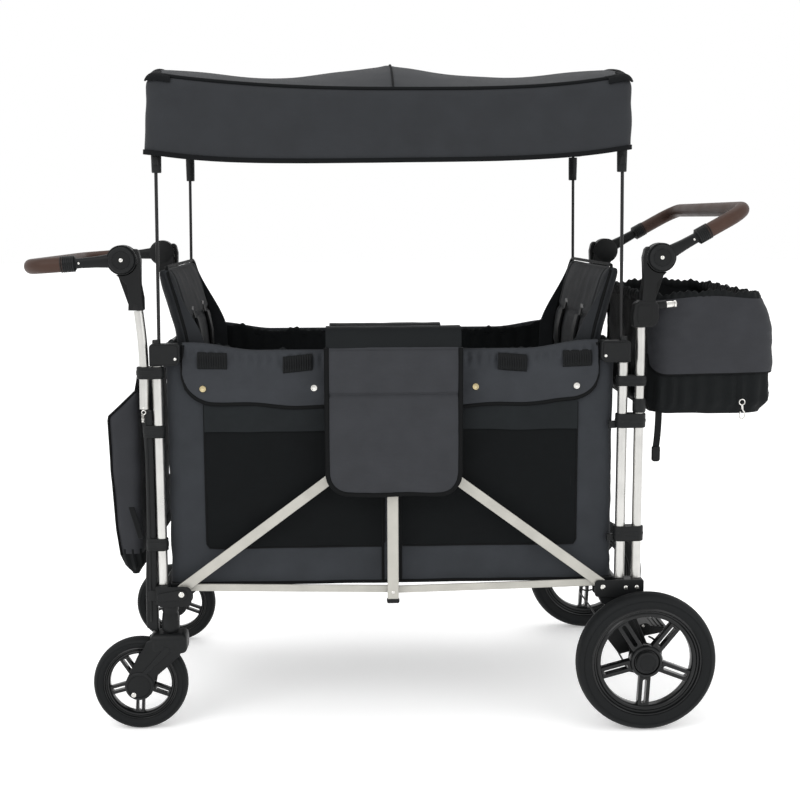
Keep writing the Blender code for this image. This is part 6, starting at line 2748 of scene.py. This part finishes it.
    def _seam(self) -> None:
        """Flat-felled seam across the middle of the roof."""
        points = []
        for step in range(61):
            y = (2 * step / 60 - 1) * (self.half_y - self.shoulder * 0.6)
            points.append((0.0060, y, self._roof(0.0060, y) + 0.0012))
        self._add(Bench.tube("canopy_seam", points, 0.0022, 10), Finishes.CANOPY_LINING)

    def _bow(self, end: str, sign: int) -> None:
        """One bent rod with its two sockets under the hem.

        Args:
            end: front or rear.
            sign: -1 at the front, 1 at the rear.
        """
        x, low_x = sign * 0.4860, sign * 0.4920
        arch = []
        for step in range(25):
            y = (2 * step / 24 - 1) * (D.post_y - 0.022)
            share = abs(y) / (D.post_y - 0.022)
            arch.append((x, y, 1.3660 + 0.0540 * (1 - share ** 2.2)))
        leg = [
            (low_x, -D.post_y, 0.8025), ((x + low_x) / 2, -D.post_y, 1.05), (x, -D.post_y, 1.3250),
            (x, -D.post_y + 0.006, 1.3500)
        ]
        path = leg + arch + [(px, -py, pz) for px, py, pz in reversed(leg)]
        rod = Bench.tube(f"canopy_rod_{end}", path, 0.0036, 14)
        nodes = (f"canopy_bow_{end}",)
        Bench.dress(rod, Finishes.ROD, f"canopy_{end}", *nodes)
        for name, out in SIDES.items():
            profile = [
                (0.0, 1.1990), (0.0090, 1.1990), (0.0102, 1.2005), (0.0104, 1.2150), (0.0108, 1.2380),
                (0.0108, 1.2560)
            ]
            profile += [(0.0, 1.2560)]
            socket = Bench.turned("socket", profile, (x, out * D.post_y, 0), (0, 0, 1), 32)
            face = out * (D.post_y + 0.0102)
            tab = Bench.block(
                "tab", (x - 0.005, min(face, face + out * 0.003), 1.2150),
                (x + 0.005, max(face, face + out * 0.003), 1.2330), 0.0012
            )
            piece = Bench.join(f"rod_socket_{end}_{name}", [socket, tab])
            Bench.dress(piece, Finishes.PLASTIC, f"canopy_{end}", slot="canopy_rod")


@dataclass
class Seating:
    """Facing seats and backrests, with piping, harness straps, buckles and slots."""

    seat_high: float = 0.5580
    seat_low: float = 0.5240
    seat_ends: tuple[float, float] = (0.2090, 0.4130)
    seat_half: float = 0.2480
    back_half: float = 0.2560
    back_face: tuple = ((0.4230, 0.5930), (0.4330, 0.8400), (0.4760, 1.0020))
    back_thick: float = 0.0250
    wing: float = 0.0330

    def build(self) -> None:
        """Make both ends' seats and backrests."""
        for end, sign in (("front", -1), ("rear", 1)):
            self._seat(end, sign)
            self._back(end, sign)

    def _seat(self, end: str, sign: int) -> None:
        """Crowned seat cushion with one cross channel.

        Args:
            end: front or rear.
            sign: -1 at the front, 1 at the rear.
        """
        x0, x1 = sorted((sign * self.seat_ends[0], sign * self.seat_ends[1]))
        base = Bench.block(
            "base", (x0, -self.seat_half, self.seat_low), (x1, self.seat_half, self.seat_high), 0.010, 3
        )
        seat = Pad(f"seat_pad_{end}", swell=0.0060, voxel=0.0085).stuff(base)
        points = Bench.coords(seat)
        mid = (x0 + x1) / 2
        top = points[:, 2] > (self.seat_low + self.seat_high) / 2
        for line in (mid - 0.055, mid + 0.055):
            points[:, 2] -= np.where(top, 0.0050 * np.exp(-(((points[:, 0] - line) / 0.0060) ** 2)), 0)
        points[:, 2] -= np.where(top, 0.0040 * np.exp(-((points[:, 1] / 0.0070) ** 2)), 0)
        points[:, 2] = np.maximum(points[:, 2], self.seat_low - 0.0030)
        Bench.put(seat, points.tolist())
        Bench.dress(seat, Finishes.SEAT, f"seat_{end}", f"seat_cushion_{end}")
        level = (self.seat_low + self.seat_high) / 2
        loop = []
        for step in range(140):
            here, _ = loop_point((x1 - x0) / 2 + 0.0045, self.seat_half + 0.0045, 0.014, step / 140)
            loop.append(here + Vector((mid, 0, level + 0.008)))
        piping = Bench.tube(f"seat_piping_{end}", loop, 0.0030, 10, closed=True)
        Bench.dress(piping, Finishes.PIPING, f"seat_{end}", slot="seat_fabric")

    def _face(self, z: float) -> float:
        """Distance of the backrest's face from the middle at a height.

        Args:
            z: Height above the floor.

        Returns:
            The distance in metres.
        """
        (x0, z0), (x1, z1), (x2, z2) = self.back_face
        if z < z1:
            return x0 + (x1 - x0) * (z - z0) / (z1 - z0)
        return x1 + (x2 - x1) * ((z - z1) / (z2 - z1)) ** 1.15

    def _back(self, end: str, sign: int) -> None:
        """Padded backrest with cross channels, harness slots, straps and buckles.

        Args:
            end: front or rear.
            sign: -1 at the front, 1 at the rear.
        """
        low, high = self.back_face[0][1], self.back_face[2][1]
        steps = 12
        heights = [low + (high - low) * step / steps for step in range(steps + 1)]
        front = [(sign * self._face(z), z) for z in heights]
        rear = [(sign * (self._face(z) + self.back_thick), z) for z in reversed(heights)]
        base = Bench.plate("base", front + rear, "XZ", -self.back_half, self.back_half, 0.0075, 3)
        back = Pad(f"backrest_pad_{end}", swell=0.0055, voxel=0.0090).stuff(base)
        rows = []
        for x, y, z in Bench.coords(back):
            face = self._face(min(max(z, low), high)) + self.back_thick / 2
            front_side = sign * x < face
            press = 0.0
            if front_side:
                for line in (0.700, 0.790, 0.885):
                    press += 0.0050 * bump(z, line, 0.0055)
                press += 0.0042 * bump(abs(y), 0.205, 0.0060)
            crease = 0.0016 * folds(Vector((0, y, z)), 0.05, 3.3 + sign)
            rows.append((x + sign * (press + crease), y, z))
        Bench.put(back, rows)
        Bench.dress(back, Finishes.SEAT, f"{end}_frame", f"backrest_{end}")
        loop = []
        for step in range(180):
            point, _ = loop_point(self.back_half + 0.0005, (high - low) / 2 + 0.0005, 0.016, step / 180)
            z = (low + high) / 2 + point.y
            loop.append((sign * (self._face(min(max(z, low), high)) + 0.0030), point.x, z))
        piping = Bench.tube(f"backrest_piping_{end}", loop, 0.0036, 10, closed=True)
        Bench.dress(piping, Finishes.PIPING, f"{end}_frame", slot="seat_fabric")
        self._harness(end, sign)
        for name, out in SIDES.items():
            self._wing(end, sign, name, out)

    def _wing(self, end: str, sign: int, name: str, out: int) -> None:
        """Side gusset from the backrest's edge down to the tub's rim.

        Args:
            end: front or rear.
            sign: -1 at the front, 1 at the rear.
            name: left or right.
            out: 1 or -1, the way out along Y.
        """

        def shape(u: float, v: float) -> Vector:
            """Point on the gusset.

            Args:
                u: Share along the piece, 0 to 1.
                v: Share across the piece, 0 to 1.

            Returns:
                The point, in the wagon's own axes.
            """
            z = 0.7700 + (0.9960 - 0.7700) * v
            reach = self.wing * smooth_step(0.9900, 0.8300, z) if z < 0.9900 else 0.0
            x = self._face(z) + 0.010 - (reach + 0.010) * u
            crease = 0.0040 * folds(
                Vector((x * 1.5, 0, z * 0.6)), 0.030, 4.4 + out
            ) * math.sin(math.pi * min(u + 0.1, 1.0))
            return Vector((sign * x, out * (0.2560 + crease * 0.5), z))

        gusset = Bench.skin(f"backrest_gusset_{end}_{name}", shape, 24, 48, 0.0026)
        Bench.dress(gusset, Finishes.SEAT, f"{end}_frame", slot="seat_fabric")

    def _harness(self, end: str, sign: int) -> None:
        """Shoulder straps with pads, sliders and a centre buckle.

        Args:
            end: front or rear.
            sign: -1 at the front, 1 at the rear.
        """
        straps, hard = [], []
        for side in (-1, 1):
            y = side * 0.105
            heights = np.linspace(0.900, 0.640, 18)
            path = [(
                sign * (self._face(float(z)) - 0.0065), y + side * 0.012 * (0.9 - float(z)), float(z)
            ) for z in heights]
            straps.append(strip("strap", path, (0.0220, 0.0220), lambda _: Vector((0, 1, 0)), 0.0020))
            pad_path = [(px - sign * 0.0040, py, pz) for px, py, pz in path[1:11]]
            straps.append(strip("pad", pad_path, (0.0400, 0.0400), lambda _: Vector((0, 1, 0)), 0.0065))
            x = sign * (self._face(0.905) - 0.0045)
            hard.append(
                Bench.block("slot", (x - 0.0022, y - 0.018, 0.899), (x + 0.0022, y + 0.018, 0.909), 0.0015)
            )
            x = sign * (self._face(0.700) - 0.0080)
            hard.append(Bench.block(
                "slider", (x - 0.0030, y + side * 0.002 - 0.016, 0.688),
                (x + 0.0030, y + side * 0.002 + 0.016, 0.712), 0.0020
            ))
        x = sign * (self._face(0.640) - 0.0110)
        outline = [(y, 0.640 + z) for y, z in rounded((-0.022, -0.026), (0.022, 0.026), 0.010)]
        hard.append(Bench.plate(
            "buckle", outline, "YZ", min(x - 0.006, x + 0.006), max(x - 0.006, x + 0.006), 0.0025, 3
        ))
        belt = [(sign * (self._face(0.640) - 0.0075), y, 0.640) for y in np.linspace(-0.115, 0.115, 12)]
        straps.append(strip("belt", belt, (0.0220, 0.0220), lambda _: Vector((0, 0, 1)), 0.0020))
        Bench.dress(
            Bench.join(f"harness_straps_{end}", straps), Finishes.WEBBING, f"{end}_frame", slot="seat_fabric"
        )
        Bench.dress(Bench.join(f"harness_fittings_{end}", hard), Finishes.PLASTIC, f"{end}_frame")


@dataclass
class RearBag:
    """Deep bag on the push handle: gathered body, charcoal pocket panel, elastic rim, strap and hook."""

    back: float = 0.5690
    half_y: float = 0.2470
    corner: float = 0.040
    levels: tuple = ((0.6680, 0.8290), (0.7000, 0.8420), (0.7800, 0.8440), (0.8600, 0.8340), (0.9400, 0.8130))

    def build(self) -> None:
        """Make the bag's pieces."""
        body = Bench.skin("rear_bag_body", lambda u, v: self._wall(u, v), 260, 60, 0.0030, wrap=True)
        Bench.dress(body, Finishes.BAG_LINING, "rear_frame", "rear_bag")
        panel = Bench.skin("rear_bag_panel", self._panel, 200, 44, 0.0036)
        Bench.dress(panel, Finishes.BAG, "rear_frame")
        rim = Bench.skin("rear_bag_rim", self._rim, 900, 10, wrap=True)
        Bench.dress(rim, Finishes.BAG_LINING, "rear_frame")
        self._trim()

    @staticmethod
    def _rim_level(place: Vector) -> float:
        """Height of the bag's mouth: highest near the middle of its sides, low at the handle tubes."""
        return 0.9270 + 0.0090 * bump(place.x, 0.7000, 0.080) + 0.0035 * smooth_step(-0.1, 0.2, place.y)

    def _front(self, z: float) -> float:
        """How far out the bag reaches at a height.

        Args:
            z: Height above the floor.

        Returns:
            The distance in metres.
        """
        levels = self.levels
        if z <= levels[0][0]:
            return levels[0][1]
        for (z0, x0), (z1, x1) in zip(levels, levels[1:]):
            if z <= z1:
                return x0 + (x1 - x0) * (z - z0) / (z1 - z0)
        return levels[-1][1]

    def _around(self, u: float, z: float, shrink: float = 0.0) -> tuple[Vector, Vector]:
        """Point round the bag at a height, and its outward direction.

        Args:
            u: Share along the piece, 0 to 1.
            z: Height above the floor.
            shrink: Distance inside the bag's face.

        Returns:
            The point and its outward direction.
        """
        front = self._front(z) - shrink
        middle, half = (self.back + shrink + front) / 2, (front - self.back - shrink) / 2
        here, out = loop_point(half, self.half_y - shrink, self.corner, u)
        return here + Vector((middle, 0, 0)), out

    def _wall(self, u: float, v: float) -> Vector:
        """Point on the body: floor from its middle out, then up the side.

        Args:
            u: Share along the piece, 0 to 1.
            v: Share across the piece, 0 to 1.

        Returns:
            The point, in the wagon's own axes.
        """
        low = self.levels[0][0]
        if v < 0.30:
            share = v / 0.30
            rim, out = self._around(u, low, 0.010)
            middle = Vector(((self.back + self._front(low)) / 2, 0, 0))
            sag = 0.0020 - 0.0040 * (1 - share ** 2)
            place = middle.lerp(rim, max(share, 0.001))
            return place + Vector((0, 0, low + 0.003 + sag + 0.004 * smooth_step(0.85, 1.0, share)))
        share = (v - 0.30) / 0.70
        z = low + 0.008 + (0.9300 - low - 0.008) * share
        here, out = self._around(u, z)
        z += (self._rim_level(here) + 0.004 - 0.9300) * share
        ruffle = 0.0032 * math.sin(
            u * 2 * math.pi * 46 + 3 * folds(here, 0.06, 1.0)
        ) * smooth_step(0.0, 0.10, share)
        ruffle *= 1 - smooth_step(0.22, 0.42, share)
        slack = 0.0065 * folds(Vector((here.x, here.y, z * 1.3)), 0.060, 4.0)
        slack += 0.0040 * folds(
            Vector((here.x * 0.5, here.y * 0.5, z * 2.2)), 0.030, 8.0
        ) * (1 - smooth_step(0.3, 0.5, share))
        tuck = 0.010 * (1 - smooth_step(0.0, 0.10, share))
        return here + out * (ruffle + slack * 0.6 - tuck - 0.002) + Vector((0, 0, z + 0.5 * slack))

    def _panel(self, u: float, v: float) -> Vector:
        """Point on the charcoal panel, from the near side round the outer face to the far side.

        Args:
            u: Share along the piece, 0 to 1.
            v: Share across the piece, 0 to 1.

        Returns:
            The point, in the wagon's own axes.
        """
        share = -0.100 + u * 0.700
        near = abs(2 * u - 1)
        low = 0.7660 - 0.0060 * near ** 2
        high = self._rim_level(self._around(share, 0.93)[0]) - 0.002
        end = smooth_step(0.86, 1.0, near)
        low += 0.045 * (1 - math.sqrt(max(0.0, 1 - min(max(near - 0.91, 0.0) / 0.09, 1.0) ** 2)))
        z = low + (high - low) * v
        here, out = self._around(share, z)
        puff = 0.0055 * math.sin(math.pi * v) ** 0.6 * (1 - end)
        crease = 0.0060 * folds(
            Vector((here.x, here.y, z)), 0.075, 6.6
        ) + 0.0024 * folds(Vector((here.x, here.y, z * 2)), 0.03, 1.6)
        return here + out * (
            0.0034 + puff + crease * (0.35 + 0.65 * math.sin(math.pi * v))
        ) + Vector((0, 0, z))

    def _rim(self, u: float, v: float) -> Vector:
        """Point on the gathered elastic rim.

        Args:
            u: Share along the piece, 0 to 1.
            v: Share across the piece, 0 to 1.

        Returns:
            The point, in the wagon's own axes.
        """
        here, out = self._around(u, 0.9300, 0.001)
        turn = 2 * math.pi * v
        wave = math.sin(u * 2 * math.pi * 88) + 0.7 * math.sin(u * 2 * math.pi * 37 + 1.4)
        radius = 0.0075 + 0.0014 * wave * (0.5 + 0.5 * math.sin(turn))
        rise = self._rim_level(here) + 0.0022 * math.sin(u * 2 * math.pi * 19)
        return here + out * radius * 0.8 * math.cos(turn) + Vector(
            (0, 0, rise + radius * 1.5 * math.sin(turn))
        )

    def _trim(self) -> None:
        """Panel piping, hanging strap with half buckle, and the snap hook."""
        edge = [self._panel(step / 160, 0.0) + Vector((0, 0, 0.001)) for step in range(161)]
        Bench.dress(
            Bench.tube("rear_bag_piping", edge, 0.0028, 10), Finishes.PIPING, "rear_frame", slot="bag_fabric"
        )
        path = [
            (0.5930, -0.2300, 0.7000), (0.5930, -0.2320, 0.6650), (0.5915, -0.2310, 0.6250),
            (0.5890, -0.2300, 0.5960)
        ]
        webbing = strip(
            "rear_bag_strap", Bench.smooth_path(path, 6), (0.0150, 0.0150), lambda _: Vector((1, 0, 0)),
            0.0022
        )
        Bench.dress(webbing, Finishes.WEBBING, "rear_frame", slot="bag_fabric")
        prong = rounded((0.5800, 0.5660), (0.5985, 0.6000), [0.006, 0.006, 0.003, 0.003])
        clip = Bench.plate("rear_bag_clip", prong, "XZ", -0.2345, -0.2265, 0.0020, 3)
        Bench.dress(clip, Finishes.PLASTIC, "rear_frame")
        ring = [(
            0.7720 + 0.0062 * math.cos(a), -0.2555, 0.7010 + 0.0062 * math.sin(a)
        ) for a in np.linspace(0, 2 * math.pi, 20, False)]
        hook = [
            (0.7720, -0.2555, 0.6950), (0.7735, -0.2560, 0.6850), (0.7790, -0.2560, 0.6760),
            (0.7770, -0.2560, 0.6660)
        ]
        hook += [(0.7700, -0.2560, 0.6650), (0.7670, -0.2560, 0.6720), (0.7690, -0.2560, 0.6800)]
        parts = [
            Bench.tube("ring", ring, 0.0013, 8, closed=True),
            Bench.tube("hook", Bench.smooth_path(hook, 6), 0.0016, 10)
        ]
        parts.append(Bench.rod("barrel", (0.7720, -0.2556, 0.6960), (0.7730, -0.2558, 0.6860), 0.0028, 16))
        Bench.dress(Bench.join("rear_bag_hook", parts), Finishes.CHROME, "rear_frame")


@dataclass
class FrontBag:
    """Flat bag in front of the pull handle's posts: charcoal shell over a gathered black foot."""

    back: float = -0.5485
    half_y: float = 0.2460
    profile: tuple = (
        (0.3280, 0.0340), (0.3480, 0.0400), (0.3700, 0.0500), (0.4300, 0.0580), (0.5600, 0.0650),
        (0.6790, 0.0690), (0.7370, 0.0060)
    )

    def build(self) -> None:
        """Make the bag's pieces."""
        shell = Bench.skin(
            "front_bag_shell", lambda u, v: self._shell(u, v, 0.375, 0.737, 0.0), 150, 64, wrap=True
        )
        Bench.modify(Bench.tidy(shell), "SOLIDIFY", thickness=0.0026, offset=0.0)
        Bench.dress(shell, Finishes.BAG, "front_frame", "front_bag")
        foot = Bench.skin(
            "front_bag_foot", lambda u, v: self._shell(u, v, 0.3280, 0.386, 0.0042), 260, 30, wrap=True,
            cap=True
        )
        Bench.dress(foot, Finishes.BAG_LINING, "front_frame")
        self._trim()

    def _depth(self, z: float) -> float:
        """How far the bag stands ahead of its back at a height.

        Args:
            z: Height above the floor.

        Returns:
            The distance in metres.
        """
        profile = self.profile
        for (z0, d0), (z1, d1) in zip(profile, profile[1:]):
            if z <= z1:
                share = max(0.0, (z - z0) / (z1 - z0))
                return d0 + (d1 - d0) * share
        return profile[-1][1]

    def _shell(self, u: float, v: float, low: float, high: float, gather: float) -> Vector:
        """Point round the bag at a height.

        Args:
            u: Share along the piece, 0 to 1.
            v: Share across the piece, 0 to 1.
            low: Height of the lower edge.
            high: Height of the upper edge.
            gather: Depth of the gathers.

        Returns:
            The point, in the wagon's own axes.
        """
        z = low + (high - low) * v
        depth = self._depth(z)
        corner = min(0.018, depth * 0.45)
        here, out = loop_point(depth / 2, self.half_y, corner, u)
        swell = 0.0035 * folds(Vector((here.x, here.y, z)), 0.075, 2.4) - 0.0012
        ruffle = gather * math.sin(u * 2 * math.pi * 58) * smooth_step(0.0, 0.3, v) * 0.6
        tuck = (0.010 * (1 - smooth_step(0.0, 0.35, v))) if gather else 0.0
        place = here + Vector((self.back - depth / 2, 0, z)) + out * (swell + ruffle - tuck)
        return Vector((min(place.x, self.back), place.y, place.z))

    def _trim(self) -> None:
        """Piping down both side seams, hanging straps, tie straps and the lower pad."""
        outline = [(y, z) for y, z in rounded((-0.1000, 0.2900), (0.1000, 0.3330), 0.012)]
        base = Bench.plate("front_bag_pad", outline, "YZ", -0.5640, -0.5520, 0.0045, 3)
        Bench.dress(base, Finishes.BAG, "front_frame")
        cords = []
        for out in (-1, 1):
            seam = []
            for step in range(40):
                z = 0.372 + (0.737 - 0.372) * step / 39
                seam.append((self.back - self._depth(z) + 0.004, out * (self.half_y - 0.0030), z))
            cords.append(Bench.tube("seam", seam, 0.0026, 10))
        Bench.dress(Bench.join("front_bag_piping", cords), Finishes.PIPING, "front_frame", slot="bag_fabric")
        straps = []
        for out in (-1, 1):
            path = [
                (-0.5520, out * 0.2200, 0.7300), (-0.5450, out * 0.2350, 0.7550),
                (-0.5400, out * 0.2520, 0.7720), (-0.5390, out * 0.2680, 0.7800)
            ]
            straps.append(strip(
                "hanger", Bench.smooth_path(path, 5), (0.0160, 0.0160), lambda _: Vector((1, 0, 0)), 0.0020
            ))
            low = [
                (-0.5700, out * 0.2440, 0.4800), (-0.5560, out * 0.2620, 0.4450),
                (-0.5450, out * 0.2800, 0.4180)
            ]
            straps.append(
                strip("tie", Bench.smooth_path(low, 5), (0.0120, 0.0120), lambda _: Vector((1, 0, 0)), 0.0020)
            )
        Bench.dress(
            Bench.join("front_bag_straps", straps), Finishes.WEBBING, "front_frame", slot="bag_fabric"
        )


# ---------------------------------------------------------------- the whole wagon
def finish_carried_nodes() -> None:
    """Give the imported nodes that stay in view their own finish."""
    for name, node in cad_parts.items():
        node.data.materials.clear()
        node.data.materials.append(PAINT.material(Finishes.BOARD if "board" in name else Finishes.PLASTIC))


def main() -> None:
    """Build the wagon's looks in order."""
    logging.basicConfig(level=logging.INFO, format="%(message)s")
    finish_carried_nodes()
    Studio().build()
    for side in SIDES:
        Wheel("rear", side, hub=0.036, cap=0.0230, bar=0.0080, slot=0.0085).build()
        Wheel("front", side, hub=0.029, cap=0.0160, bar=0.0062, slot=0.0064).build()
        Caster(side).build()
    FrontFrame().build()
    RearFrame().build()
    Linkage().build()
    Handle("front", (-0.562, 1.020), 0.198, math.radians(-4), 0.118).build()
    Handle("rear", (0.572, 1.020), 0.209, math.radians(29), 0.108).build()
    Brake().build()
    Tub().build()
    SideFlap("left").build()
    SideFlap("right", lip=0.7980, high=0.8340, seam=0.7150).build()
    Seating().build()
    FrontBag().build()
    RearBag().build()
    Canopy().build()


if __name__ == "__main__":
    main()
